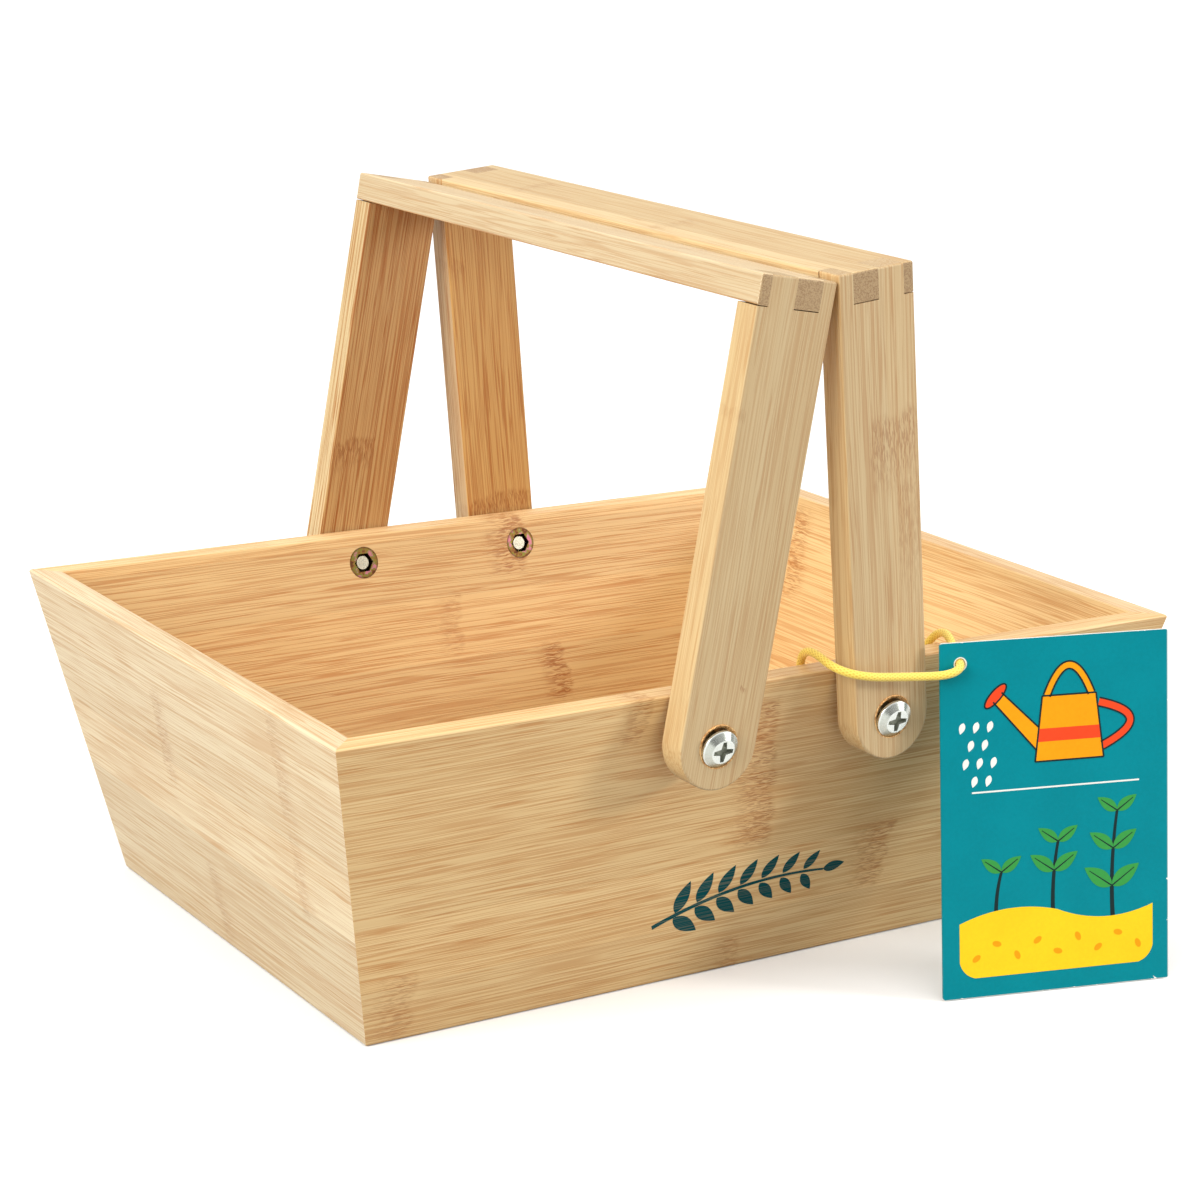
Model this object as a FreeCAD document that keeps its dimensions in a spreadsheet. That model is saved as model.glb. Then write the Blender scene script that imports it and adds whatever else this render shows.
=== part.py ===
"""Garden trug: a bamboo-board tray with four sloping walls and two swing handles.

Lengths are in millimetres and angles in degrees.  X runs along the front wall, Y runs away
from the front wall and Z is up.  The origin lies under the middle of the tray, on the ground.
"""
import FreeCAD, Part
import Sketcher
import math
import os
from FreeCAD import Placement, Rotation, Vector

doc = FreeCAD.newDocument("garden_trug")

SIZES = [
    ("rim_length", 300.0, "outside length of the tray at the rim"),
    ("rim_width", 218.0, "outside width of the tray at the rim"),
    ("base_length", 255.0, "outside length of the tray at the ground"),
    ("base_width", 170.0, "outside width of the tray at the ground"),
    ("tray_height", 100.0, "height of the four walls"),
    ("wall_board", 8.5, "thickness of the wall boards"),
    ("wall_round", 0.8, "rounding of the wall boards' long edges"),
    ("panel_board", 5.0, "thickness of the base panel"),
    ("panel_lift", 6.0, "height of the base panel's underside"),
    ("groove_depth", 3.5, "how far the base panel reaches into the walls"),
    ("groove_play", 0.2, "room round the base panel in its groove"),
    ("leg_board", 10.0, "thickness of the handle legs"),
    ("leg_width", 26.5, "width of the handle legs and of the grip bars"),
    ("leg_reach", 136.5, "from the pivot to the top face of the grip bar"),
    ("leg_play", 0.5, "room between the rim and a leg"),
    ("grip_board", 9.0, "thickness of the grip bars"),
    ("grip_round", 0.7, "rounding of the legs' and grip bars' edges"),
    ("edge_finger", 3.7, "width of the grip bar's finger at its outer edge"),
    ("mid_finger", 9.0, "width of the two fingers in the middle of the joint"),
    ("finger_play", 0.3, "open joint under the grip bar's fingers"),
    ("pivot_spacing", 63.0, "distance between the two handles' pivots"),
    ("pivot_height", 86.0, "height of the pivots"),
    ("meet_offset", 4.0, "how far right of the middle the two grip bars meet"),
    ("meet_play", 0.3, "room between the two grip bars where they meet"),
    ("bore_play", 0.25, "room round the screw's shank in the leg"),
    ("shank_diameter", 6.0, "shank of the pivot screws"),
    ("head_diameter", 12.0, "head of the pivot screws"),
    ("head_height", 2.4, "height of the screw head"),
    ("head_edge", 0.8, "straight part of the screw head's side"),
    ("head_round", 0.45, "rounding of the screw head's edges"),
    ("head_flat", 7.6, "diameter of the flat on the screw head"),
    ("head_play", 0.3, "room round the head in its seat in the leg"),
    ("head_lift", 0.2, "from the leg's outer face to the middle of the head's underside"),
    ("seat_ledge", 0.6, "least width of the seat's ledge round the bore"),
    ("pivot_out", 3.5, "from the leg's middle plane out to where the screw meets the pivot line"),
    ("drive_span", 6.6, "width of the cross recess"),
    ("drive_slot", 1.2, "width of the recess's slots at their ends"),
    ("drive_root", 2.0, "width of the recess's slots where they meet"),
    ("drive_depth", 1.5, "depth of the cross recess"),
    ("insert_diameter", 9.0, "barrel of the threaded inserts"),
    ("insert_length", 8.0, "length of the threaded inserts"),
    ("flange_diameter", 10.8, "flange of the threaded inserts"),
    ("flange_board", 1.4, "thickness of the insert's flange"),
    ("insert_play", 0.1, "room round the insert in the wall"),
    ("thread_play", 0.1, "room round the shank in the insert"),
    ("socket_width", 6.2, "hex socket of the insert across its flats"),
    ("socket_depth", 2.6, "depth of the hex socket"),
    ("shank_point", 0.7, "chamfer at the end of the shank"),
    ("shank_short", 1.0, "how far the shank ends below the flange"),
    ("tag_width", 76.0, "width of the hang tag"),
    ("tag_height", 109.0, "height of the hang tag"),
    ("tag_board", 0.8, "thickness of the hang tag's card"),
    ("tag_corner", 1.0, "corner rounding of the hang tag"),
    ("tag_eye", 3.7, "diameter of the hole for the cord"),
    ("tag_eye_edge", 6.6, "from the hole to the tag's two nearest edges"),
    ("tag_turn", 14.5, "how far the tag is turned from the front wall"),
    ("tag_lean", 8.9, "how far the tag leans back"),
    ("tag_gap", 3.2, "room between the tag's upper corner and the leg's face"),
    ("tag_side", 9.3, "from the right pivot to the tag's lower left corner"),
    ("cord_diameter", 2.6, "thickness of the elastic cord"),
    ("knot_length", 7.0, "length of the cord's knot"),
    ("knot_diameter", 6.0, "thickness of the cord's knot"),
]

sheet = doc.addObject("Spreadsheet::Sheet", "Sizes")
for row, (alias, value, meaning) in enumerate(SIZES, start=1):
    sheet.set(f"A{row}", meaning)
    sheet.set(f"B{row}", str(value))
    sheet.setAlias(f"B{row}", alias)
doc.recompute()


class Dim:
    """A size that knows its number and the sheet formula that gives it."""

    def __init__(self, value, text):
        self.value = value
        self.text = text

    def __add__(self, other):
        other = as_dim(other)
        return Dim(self.value + other.value, f"({self.text} + {other.text})")

    def __sub__(self, other):
        other = as_dim(other)
        return Dim(self.value - other.value, f"({self.text} - {other.text})")

    def __mul__(self, other):
        other = as_dim(other)
        return Dim(self.value * other.value, f"({self.text} * {other.text})")

    def __truediv__(self, other):
        other = as_dim(other)
        return Dim(self.value / other.value, f"({self.text} / {other.text})")

    def __neg__(self):
        return Dim(-self.value, f"(-1 * {self.text})")


def as_dim(item):
    """Plain numbers join formulas as they are."""
    return item if isinstance(item, Dim) else Dim(float(item), repr(float(item)))


def root(item):
    return Dim(math.sqrt(item.value), f"sqrt({item.text})")


def larger(first, second):
    return Dim(max(first.value, second.value), f"max({first.text}; {second.text})")


def arc_tan(item):
    return Dim(math.degrees(math.atan(item.value)), f"atan({item.text})")


def arc_sin(item):
    return Dim(math.degrees(math.asin(item.value)), f"asin({item.text})")


def sine(item):
    return Dim(math.sin(math.radians(item.value)), f"sin({item.text} * 1 deg)")


def cosine(item):
    return Dim(math.cos(math.radians(item.value)), f"cos({item.text} * 1 deg)")


RIGHT_ANGLE = Dim(90.0, "90 deg")
ZERO = Dim(0.0, "0")


class Sheet:
    """The sheet's sizes by name."""


size = Sheet()
for alias, value, meaning in SIZES:
    setattr(size, alias, Dim(value, f"Sizes.{alias}"))

# slopes of the walls: how far each wall runs out over the tray's height
side_run = (size.rim_width - size.base_width) / 2
end_run = (size.rim_length - size.base_length) / 2
side_slant = root(side_run * side_run + size.tray_height * size.tray_height)
end_slant = root(end_run * end_run + size.tray_height * size.tray_height)
side_slope = arc_tan(side_run / size.tray_height)
side_cos = size.tray_height / side_slant
side_sin = side_run / side_slant
side_skin = size.wall_board * side_slant / size.tray_height
end_skin = size.wall_board * end_slant / size.tray_height

# the base panel reaches into the groove from the walls' inner faces at its own middle height
panel_middle = (size.panel_lift + size.panel_board / 2) / size.tray_height
panel_half_length = size.base_length / 2 + end_run * panel_middle - end_skin + size.groove_depth
panel_half_width = size.base_width / 2 + side_run * panel_middle - side_skin + size.groove_depth

# handles: pivots, leg planes and the lean at which the grip bars meet
pivot_x = size.pivot_spacing / 2
leg_inner = size.rim_width / 2 + size.leg_play
leg_middle = leg_inner + size.leg_board / 2
leg_outer = leg_inner + size.leg_board
half_leg = size.leg_width / 2
corner_reach = root(size.leg_reach * size.leg_reach + half_leg * half_leg)
corner_angle = arc_tan(half_leg / size.leg_reach)
left_lean = arc_sin((pivot_x + size.meet_offset - size.meet_play / 2) / corner_reach) - corner_angle
right_lean = arc_sin((pivot_x - size.meet_offset - size.meet_play / 2) / corner_reach) - corner_angle

# pivot screws stand square to the sloping wall and cross the pivot line near the leg's outer face
cross_out = leg_middle + size.pivot_out
cross_to_rim = size.leg_play + size.leg_board / 2 + size.pivot_out
rim_drop = size.tray_height - size.pivot_height
cross_to_inside = cross_to_rim * side_cos + rim_drop * side_sin + size.wall_board
head_stand = (size.leg_board / 2 - size.pivot_out + size.head_lift) / side_cos
shank_length = head_stand + cross_to_inside - size.shank_short
bore_tilt = (size.leg_board / 2 + size.pivot_out) * side_sin / side_cos
leg_bore = (bore_tilt + size.shank_diameter / 2 / side_cos + size.bore_play) * 2

# each leg has a round seat in which the tilted head sinks on its lower side and the leg turns freely
head_drop = (head_stand + size.head_edge) * side_sin
head_room = (head_drop + size.head_diameter / 2 * side_cos + size.head_play) * 2
head_seat = larger(head_room, leg_bore + size.seat_ledge * 2)
seat_depth = size.head_diameter / 2 * side_sin - size.head_lift + size.head_play


def new_body(name):
    body = doc.addObject("PartDesign::Body", name)
    body.Label = name
    return body


def origin_plane(body, role):
    for item in body.Origin.OriginFeatures:
        if item.Role == role:
            return item
    raise RuntimeError(f"{body.Label} has no {role}")


def new_sketch(body, name, role, offset=None, tilt=None):
    """A sketch on one of the body's origin planes, moved and tilted about its own X axis."""
    sketch = body.newObject("Sketcher::SketchObject", f"{body.Name}_{name}")
    sketch.AttachmentSupport = [(origin_plane(body, role), "")]
    sketch.MapMode = "FlatFace"
    offset = offset or (ZERO, ZERO, ZERO)
    tilt = tilt or ZERO
    base = Vector(*[part.value for part in offset])
    axis = Vector(1, 0, 0) if tilt.value >= 0 else Vector(-1, 0, 0)
    sketch.AttachmentOffset = Placement(base, Rotation(axis, abs(tilt.value)))
    for axis_name, part in zip("xyz", offset):
        if part is not ZERO:
            sketch.setExpression(f"AttachmentOffset.Base.{axis_name}", part.text)
    if tilt is not ZERO:
        turned = tilt if tilt.value >= 0 else -tilt
        sketch.setExpression("AttachmentOffset.Rotation.Angle", turned.text)
    return sketch


def set_coordinate(sketch, kind, geometry, place, coordinate):
    """Tie one coordinate of a sketch point to its formula."""
    if abs(coordinate.value) < 1e-9:
        axis = -2 if kind == "DistanceX" else -1
        sketch.addConstraint(Sketcher.Constraint("PointOnObject", geometry, place, axis))
        return
    if coordinate.value > 0:
        rule = Sketcher.Constraint(kind, -1, 1, geometry, place, coordinate.value)
        text = coordinate.text
    else:
        rule = Sketcher.Constraint(kind, geometry, place, -1, 1, -coordinate.value)
        text = (-coordinate).text
    index = sketch.addConstraint(rule)
    sketch.setExpression(f"Constraints[{index}]", text)


def set_point(sketch, geometry, place, point):
    set_coordinate(sketch, "DistanceX", geometry, place, point[0])
    set_coordinate(sketch, "DistanceY", geometry, place, point[1])


def draw_outline(sketch, points):
    """A closed outline of straight lines through the points."""
    count = len(points)
    flat = [Vector(px.value, py.value, 0) for px, py in points]
    lines = []
    for index in range(count):
        start = flat[index]
        end = flat[(index + 1) % count]
        lines.append(sketch.addGeometry(Part.LineSegment(start, end), False))
    for index in range(count):
        following = lines[(index + 1) % count]
        sketch.addConstraint(Sketcher.Constraint("Coincident", lines[index], 2, following, 1))
    for index in range(count):
        set_point(sketch, lines[index], 1, points[index])
    return lines


def draw_circle(sketch, centre, diameter):
    middle = Vector(centre[0].value, centre[1].value, 0)
    ring = sketch.addGeometry(Part.Circle(middle, Vector(0, 0, 1), diameter.value / 2), False)
    set_point(sketch, ring, 3, centre)
    index = sketch.addConstraint(Sketcher.Constraint("Diameter", ring, diameter.value))
    sketch.setExpression(f"Constraints[{index}]", diameter.text)
    return ring


def rectangle(half_x, half_y):
    return [(-half_x, -half_y), (half_x, -half_y), (half_x, half_y), (-half_x, half_y)]


def pad(body, name, sketch, length, symmetric=False):
    feature = body.newObject("PartDesign::Pad", f"{body.Name}_{name}")
    feature.Profile = sketch
    feature.Length = length.value
    feature.setExpression("Length", length.text)
    if symmetric:
        feature.SideType = "Symmetric"
    doc.recompute()
    return feature


def pocket(body, name, sketch, depth=None, symmetric=False, towards_normal=False, along=None):
    """Cut the sketch out of the body and make sure that wood or metal is really removed."""
    before = body.Shape.Volume
    feature = body.newObject("PartDesign::Pocket", f"{body.Name}_{name}")
    feature.Profile = sketch
    feature.Reversed = towards_normal
    if symmetric:
        feature.SideType = "Symmetric"
    if along is not None:
        feature.UseCustomVector = True
        feature.AlongSketchNormal = True
        feature.Direction = Vector(*[part.value for part in along])
        for axis_name, part in zip("xyz", along):
            feature.setExpression(f"Direction.{axis_name}", part.text)
    if depth is None:
        feature.Type = "ThroughAll"
    else:
        feature.Length = depth.value
        feature.setExpression("Length", depth.text)
    doc.recompute()
    after = body.Shape.Volume
    if after > before - 0.01 or after < 1.0:
        raise RuntimeError(f"{feature.Name} does not cut as it should")
    return feature


def revolve(body, name, sketch):
    feature = body.newObject("PartDesign::Revolution", f"{body.Name}_{name}")
    feature.Profile = sketch
    feature.ReferenceAxis = (sketch, ["V_Axis"])
    feature.Angle = 360.0
    doc.recompute()
    return feature


def round_edges(body, name, radius, wanted, whole=False):
    """Round those edges of the body that the test accepts, by their end points or as a whole."""
    base = body.Tip
    chosen = []
    for index, edge in enumerate(base.Shape.Edges, start=1):
        ends = [vertex.Point for vertex in edge.Vertexes]
        if whole and wanted(edge) or not whole and len(ends) == 2 and wanted(ends[0], ends[1]):
            chosen.append(f"Edge{index}")
    if not chosen:
        raise RuntimeError(f"{body.Label} has no edge to round")
    feature = body.newObject("PartDesign::Fillet", f"{body.Name}_{name}")
    feature.Base = (base, chosen)
    feature.Radius = radius.value
    feature.setExpression("Radius", radius.text)
    doc.recompute()
    return feature


def put(body, place, axis, angle):
    """Set the body's place and its turn about a fixed axis, both tied to the sheet."""
    base = Vector(*[part.value for part in place])
    body.Placement = Placement(base, Rotation(axis, angle.value))
    for axis_name, part in zip("xyz", place):
        if part is not ZERO:
            body.setExpression(f"Placement.Base.{axis_name}", part.text)
    if angle is not ZERO:
        body.setExpression("Placement.Rotation.Angle", angle.text)


def near(first, second, slack=1e-4):
    return abs(first - second) < slack


def make_wall(name, turn, top, bottom, skins, bored):
    """One sloping board with mitred ends, drawn as the wall on the -Y side and then turned.

    top and bottom hold half the length along the wall and the distance of the outer face;
    skins holds what the mitre and the board take off those two.
    """
    body = new_body(name)
    rise = size.tray_height
    section = new_sketch(body, "section", "YZ_Plane")
    draw_outline(
        section,
        [
            (-bottom[1], ZERO),
            (skins[1] - bottom[1], ZERO),
            (skins[1] - top[1], rise),
            (-top[1], rise),
        ],
    )
    pad(body, "board", section, top[0] * 2, symmetric=True)

    def runs_along(start, end):
        return near(start.y, end.y) and near(start.z, end.z) and not near(start.x, end.x)

    round_edges(body, "arris", size.wall_round, runs_along)

    waste = new_sketch(body, "mitre_waste", "XY_Plane")
    beyond = top[0] + skins[0] * 2
    draw_outline(
        waste,
        [
            (bottom[0] + skins[0], -bottom[1] - skins[1]),
            (beyond, -bottom[1] - skins[1]),
            (beyond, skins[1] * 2 - bottom[1]),
            (bottom[0] - skins[0] * 2, skins[1] * 2 - bottom[1]),
        ],
    )
    mitre = pocket(body, "mitre", waste, rise, along=(top[0] - bottom[0], bottom[1] - top[1], rise))
    before = body.Shape.Volume
    other = body.newObject("PartDesign::Mirrored", f"{body.Name}_other_mitre")
    other.Originals = [mitre]
    other.MirrorPlane = (origin_plane(body, "YZ_Plane"), [""])
    body.Tip = other
    doc.recompute()
    if body.Shape.Volume > before - 0.01:
        raise RuntimeError(f"{name} has one mitre only")

    half_x = panel_half_length if turn % 180 == 0 else panel_half_width
    half_y = panel_half_width if turn % 180 == 0 else panel_half_length
    lift = size.panel_lift - size.groove_play
    groove = new_sketch(body, "groove_outline", "XY_Plane", (ZERO, ZERO, lift))
    draw_outline(groove, rectangle(half_x + size.groove_play, half_y + size.groove_play))
    height = size.panel_board + size.groove_play * 2
    pocket(body, "groove", groove, height, towards_normal=True)

    if bored:
        bore_place = (ZERO, size.pivot_height, cross_out)
        bore = new_sketch(body, "bore_circles", "XZ_Plane", bore_place, side_slope)
        flange_face = cross_to_inside - size.flange_board - size.insert_play
        seat_up = size.pivot_height + flange_face * side_sin
        seat_out = cross_out - flange_face * side_cos
        seat = new_sketch(body, "seat_circles", "XZ_Plane", (ZERO, seat_up, seat_out), side_slope)
        for across in (pivot_x, -pivot_x):
            draw_circle(bore, (across, ZERO), size.insert_diameter + size.insert_play * 2)
            draw_circle(seat, (across, ZERO), size.flange_diameter + size.insert_play * 2)
        pocket(body, "bores", bore)
        pocket(body, "seats", seat)
    body.Placement = Placement(Vector(), Rotation(Vector(0, 0, 1), turn))
    return body


rim_half = (size.rim_length / 2, size.rim_width / 2)
foot_half = (size.base_length / 2, size.base_width / 2)
side_skins = (end_skin, side_skin)
end_skins = (side_skin, end_skin)
pieces = [
    make_wall("front_wall", 0, rim_half, foot_half, side_skins, True),
    make_wall("back_wall", 180, rim_half, foot_half, side_skins, True),
    make_wall("right_end_wall", 90, rim_half[::-1], foot_half[::-1], end_skins, False),
    make_wall("left_end_wall", 270, rim_half[::-1], foot_half[::-1], end_skins, False),
]

base_panel = new_body("base_panel")
base_outline = new_sketch(base_panel, "outline", "XY_Plane")
draw_outline(base_outline, rectangle(panel_half_length, panel_half_width))
pad(base_panel, "board", base_outline, size.panel_board)
put(base_panel, (ZERO, ZERO, size.panel_lift), Vector(0, 0, 1), ZERO)
pieces.append(base_panel)


def finger_edges(outer):
    """Edges of the finger joint across the handle, from its outer to its inner side."""
    start = half_leg * outer
    first = start - size.edge_finger * outer
    second = first - size.mid_finger * outer
    third = second - size.mid_finger * outer
    return [start, first, second, third, -start]


def make_leg(name, outer, outside, place, lean):
    """A leg about its own pivot: round foot, straight sides and fingers at the top.

    outer says which side of the handle faces away from the other handle, and outside
    which face of the leg looks away from the tray.
    """
    body = new_body(name)
    cuts = finger_edges(outer)
    top = size.leg_reach
    shoulder = size.leg_reach - size.grip_board - size.finger_play
    outline = [
        (cuts[0], shoulder),
        (cuts[1], shoulder),
        (cuts[1], top),
        (cuts[2], top),
        (cuts[2], shoulder),
        (cuts[3], shoulder),
        (cuts[3], top),
        (cuts[4], top),
        (cuts[4], ZERO),
        (cuts[0], ZERO),
    ]
    sketch = new_sketch(body, "outline", "XZ_Plane")
    flat = [Vector(px.value, py.value, 0) for px, py in outline]
    lines = []
    for index in range(len(outline) - 2):
        lines.append(sketch.addGeometry(Part.LineSegment(flat[index], flat[index + 1]), False))
    lines.append(sketch.addGeometry(Part.LineSegment(flat[-1], flat[0]), False))
    low = Vector(0, -half_leg.value, 0)
    foot = sketch.addGeometry(Part.Arc(flat[-2], low, flat[-1]), False)
    for index in range(len(lines) - 2):
        sketch.addConstraint(Sketcher.Constraint("Coincident", lines[index], 2, lines[index + 1], 1))
    sketch.addConstraint(Sketcher.Constraint("Coincident", lines[-1], 2, lines[0], 1))
    sketch.addConstraint(Sketcher.Constraint("Coincident", foot, 3, -1, 1))
    starts_left = sketch.getPoint(foot, 1).distanceToPoint(flat[-1]) < 0.01
    near_end, far_end = (2, 1) if starts_left else (1, 2)
    sketch.addConstraint(Sketcher.Constraint("Coincident", lines[-2], 2, foot, near_end))
    sketch.addConstraint(Sketcher.Constraint("Coincident", lines[-1], 1, foot, far_end))
    for index in range(len(lines) - 1):
        set_point(sketch, lines[index], 1, outline[index])
    set_point(sketch, lines[-2], 2, outline[-2])
    sketch.addConstraint(Sketcher.Constraint("PointOnObject", lines[-1], 1, -1))
    pad(body, "board", sketch, size.leg_board, symmetric=True)

    bore = new_sketch(body, "bore_circle", "XZ_Plane")
    draw_circle(bore, (ZERO, ZERO), leg_bore)
    pocket(body, "bore", bore, size.leg_board * 2, symmetric=True)
    seat = new_sketch(body, "head_seat", "XZ_Plane", (ZERO, ZERO, size.leg_board / 2 * -outside))
    draw_circle(seat, (ZERO, ZERO), head_seat)
    pocket(body, "seat", seat, seat_depth, towards_normal=outside > 0)

    side = half_leg.value

    def on_outline(start, end):
        flat_face = near(start.y, end.y) and near(abs(start.y), size.leg_board.value / 2)
        long_side = near(abs(start.x), side) and near(abs(end.x), side)
        long_side = long_side and (near(start.x, end.x) or near(start.z, 0.0) and near(end.z, 0.0))
        inner_top = near(start.x, cuts[4].value) and near(end.x, cuts[4].value)
        inner_top = inner_top and near(start.z, top.value) and near(end.z, top.value)
        end_top = near(start.z, top.value) and near(end.z, top.value) and near(start.y, end.y)
        end_top = end_top and near(start.y, size.leg_board.value / 2 * outside)
        return flat_face and long_side or inner_top or end_top

    round_edges(body, "edges", size.grip_round, on_outline)
    put(body, place, Vector(0, outer * -1, 0), lean)
    return body


def make_grip(name, outer, place, lean):
    """The bar across the top of a handle, with fingers at both ends."""
    body = new_body(name)
    cuts = finger_edges(outer)
    slot = leg_inner
    end = leg_outer
    front = [
        (cuts[0], -end),
        (cuts[1], -end),
        (cuts[1], -slot),
        (cuts[2], -slot),
        (cuts[2], -end),
        (cuts[3], -end),
        (cuts[3], -slot),
        (cuts[4], -slot),
    ]
    back = [(across, -along) for across, along in reversed(front)]
    sketch = new_sketch(body, "outline", "XY_Plane", (ZERO, ZERO, size.leg_reach - size.grip_board))
    draw_outline(sketch, front + back)
    pad(body, "board", sketch, size.grip_board)
    side = half_leg.value

    top = size.leg_reach.value
    far = leg_outer.value

    def outside_edge(start, end):
        level = near(start.z, end.z) and near(start.x, end.x)
        long_edge = level and near(abs(start.x), side)
        long_edge = long_edge and abs(start.y - end.y) > size.leg_board.value * 2
        at_end = near(abs(start.y), far) and near(start.y, end.y)
        end_top = at_end and near(start.z, top) and near(end.z, top)
        corner = at_end and near(start.x, cuts[0].value) and near(end.x, cuts[0].value)
        return long_edge or end_top or corner

    round_edges(body, "edges", size.grip_round, outside_edge)
    put(body, place, Vector(0, outer * -1, 0), lean)
    return body


for hand, outer, lean in (("left", -1, left_lean), ("right", 1, right_lean)):
    across = pivot_x * outer
    for side, outside in (("front", -1), ("back", 1)):
        place = (across, leg_middle * outside, size.pivot_height)
        pieces.append(make_leg(f"{hand}_handle_{side}_leg", outer, outside, place, lean))
    pieces.append(make_grip(f"{hand}_handle_grip_bar", outer, (across, ZERO, size.pivot_height), lean))


def make_screw(name, place, axis, angle):
    """A pan-head screw with a cross recess; its head's underside lies in its own XY plane."""
    body = new_body(name)
    profile = new_sketch(body, "profile", "XZ_Plane")
    shank = size.shank_diameter / 2
    head = size.head_diameter / 2
    flat_part = size.head_flat / 2
    point = size.shank_point
    points = [
        (ZERO, -shank_length),
        (shank - point, -shank_length),
        (shank, point - shank_length),
        (shank, ZERO),
        (head, ZERO),
        (head, size.head_edge),
        (flat_part, size.head_height),
        (ZERO, size.head_height),
    ]
    draw_outline(profile, points)
    revolve(body, "turned", profile)
    rounded = (size.head_edge.value, size.head_height.value)

    def head_ring(edge):
        ring = isinstance(edge.Curve, Part.Circle) and edge.Curve.Radius > flat_part.value - 0.01
        return ring and any(near(edge.Curve.Center.z, level) for level in rounded)

    round_edges(body, "head_edges", size.head_round, head_ring, whole=True)

    cross = new_sketch(body, "cross", "XY_Plane", (ZERO, ZERO, size.head_height))
    long_arm = size.drive_span / 2
    short_arm = size.drive_slot / 2
    corner = size.drive_root / 2
    arms = [
        (long_arm, -short_arm),
        (long_arm, short_arm),
        (corner, corner),
        (short_arm, long_arm),
        (-short_arm, long_arm),
        (-corner, corner),
        (-long_arm, short_arm),
        (-long_arm, -short_arm),
        (-corner, -corner),
        (-short_arm, -long_arm),
        (short_arm, -long_arm),
        (corner, -corner),
    ]
    draw_outline(cross, arms)
    pocket(body, "recess", cross, size.drive_depth)
    put(body, place, axis, angle)
    return body


def make_insert(name, place, axis, angle):
    """A flanged insert; its flange's face lies in its own XY plane and its barrel below that."""
    body = new_body(name)
    profile = new_sketch(body, "profile", "XZ_Plane")
    hollow = size.shank_diameter / 2 + size.thread_play
    barrel = size.insert_diameter / 2
    flange = size.flange_diameter / 2
    points = [
        (hollow, -size.insert_length),
        (barrel, -size.insert_length),
        (barrel, -size.flange_board),
        (flange, -size.flange_board),
        (flange, ZERO),
        (hollow, ZERO),
    ]
    draw_outline(profile, points)
    revolve(body, "turned", profile)
    socket = new_sketch(body, "hexagon", "XY_Plane")
    across = size.socket_width / 2
    half_side = across / math.sqrt(3)
    corner = half_side * 2
    draw_outline(
        socket,
        [
            (corner, ZERO),
            (half_side, across),
            (-half_side, across),
            (-corner, ZERO),
            (-half_side, -across),
            (half_side, -across),
        ],
    )
    pocket(body, "socket", socket, size.socket_depth)
    put(body, place, axis, angle)
    return body


head_out = cross_out + head_stand * side_cos
head_up = size.pivot_height - head_stand * side_sin
face_out = cross_out - cross_to_inside * side_cos
face_up = size.pivot_height + cross_to_inside * side_sin
for hand, across in (("left", -pivot_x), ("right", pivot_x)):
    for side, way in (("front", 1), ("back", -1)):
        screw_axis = Vector(way, 0, 0)
        insert_axis = Vector(-way, 0, 0)
        screw_place = (across, head_out * -way, head_up)
        insert_place = (across, face_out * -way, face_up)
        screw_name = f"pivot_screw_{hand}_{side}"
        pieces.append(make_screw(screw_name, screw_place, screw_axis, RIGHT_ANGLE + side_slope))
        insert_name = f"threaded_insert_{hand}_{side}"
        pieces.append(make_insert(insert_name, insert_place, insert_axis, RIGHT_ANGLE - side_slope))

# the hang tag stands on the ground, leans back and clears the right leg's outer face
tag_back = size.tag_height * sine(size.tag_lean)
tag_x = pivot_x + size.tag_side
tag_y = leg_outer + size.tag_gap + tag_back * cosine(size.tag_turn)
hang_tag = new_body("hang_tag")
card = new_sketch(hang_tag, "card", "XZ_Plane", None, -size.tag_lean)
draw_outline(
    card,
    [
        (ZERO, ZERO),
        (size.tag_width, ZERO),
        (size.tag_width, size.tag_height),
        (ZERO, size.tag_height),
    ],
)
eye = (size.tag_eye_edge, size.tag_height - size.tag_eye_edge)
draw_circle(card, eye, size.tag_eye)
pad(hang_tag, "sheet", card, size.tag_board)


def card_corner(start, end):
    return near(start.distanceToPoint(end), size.tag_board.value)


round_edges(hang_tag, "corners", size.tag_corner, card_corner)
put(hang_tag, (tag_x, -tag_y, ZERO), Vector(0, 0, -1), size.tag_turn)
pieces.append(hang_tag)


def tag_point(across, up, out):
    """A point given on the tag: along its width, up its face and out in front of its back face."""
    lean = math.radians(size.tag_lean.value)
    turn = math.radians(size.tag_turn.value)
    back = up * math.sin(lean) - out * math.cos(lean)
    rise = up * math.cos(lean) + out * math.sin(lean)
    run_x = across * math.cos(turn) + back * math.sin(turn)
    run_y = -across * math.sin(turn) + back * math.cos(turn)
    return Vector(tag_x.value + run_x, run_y - tag_y.value, rise)


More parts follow.
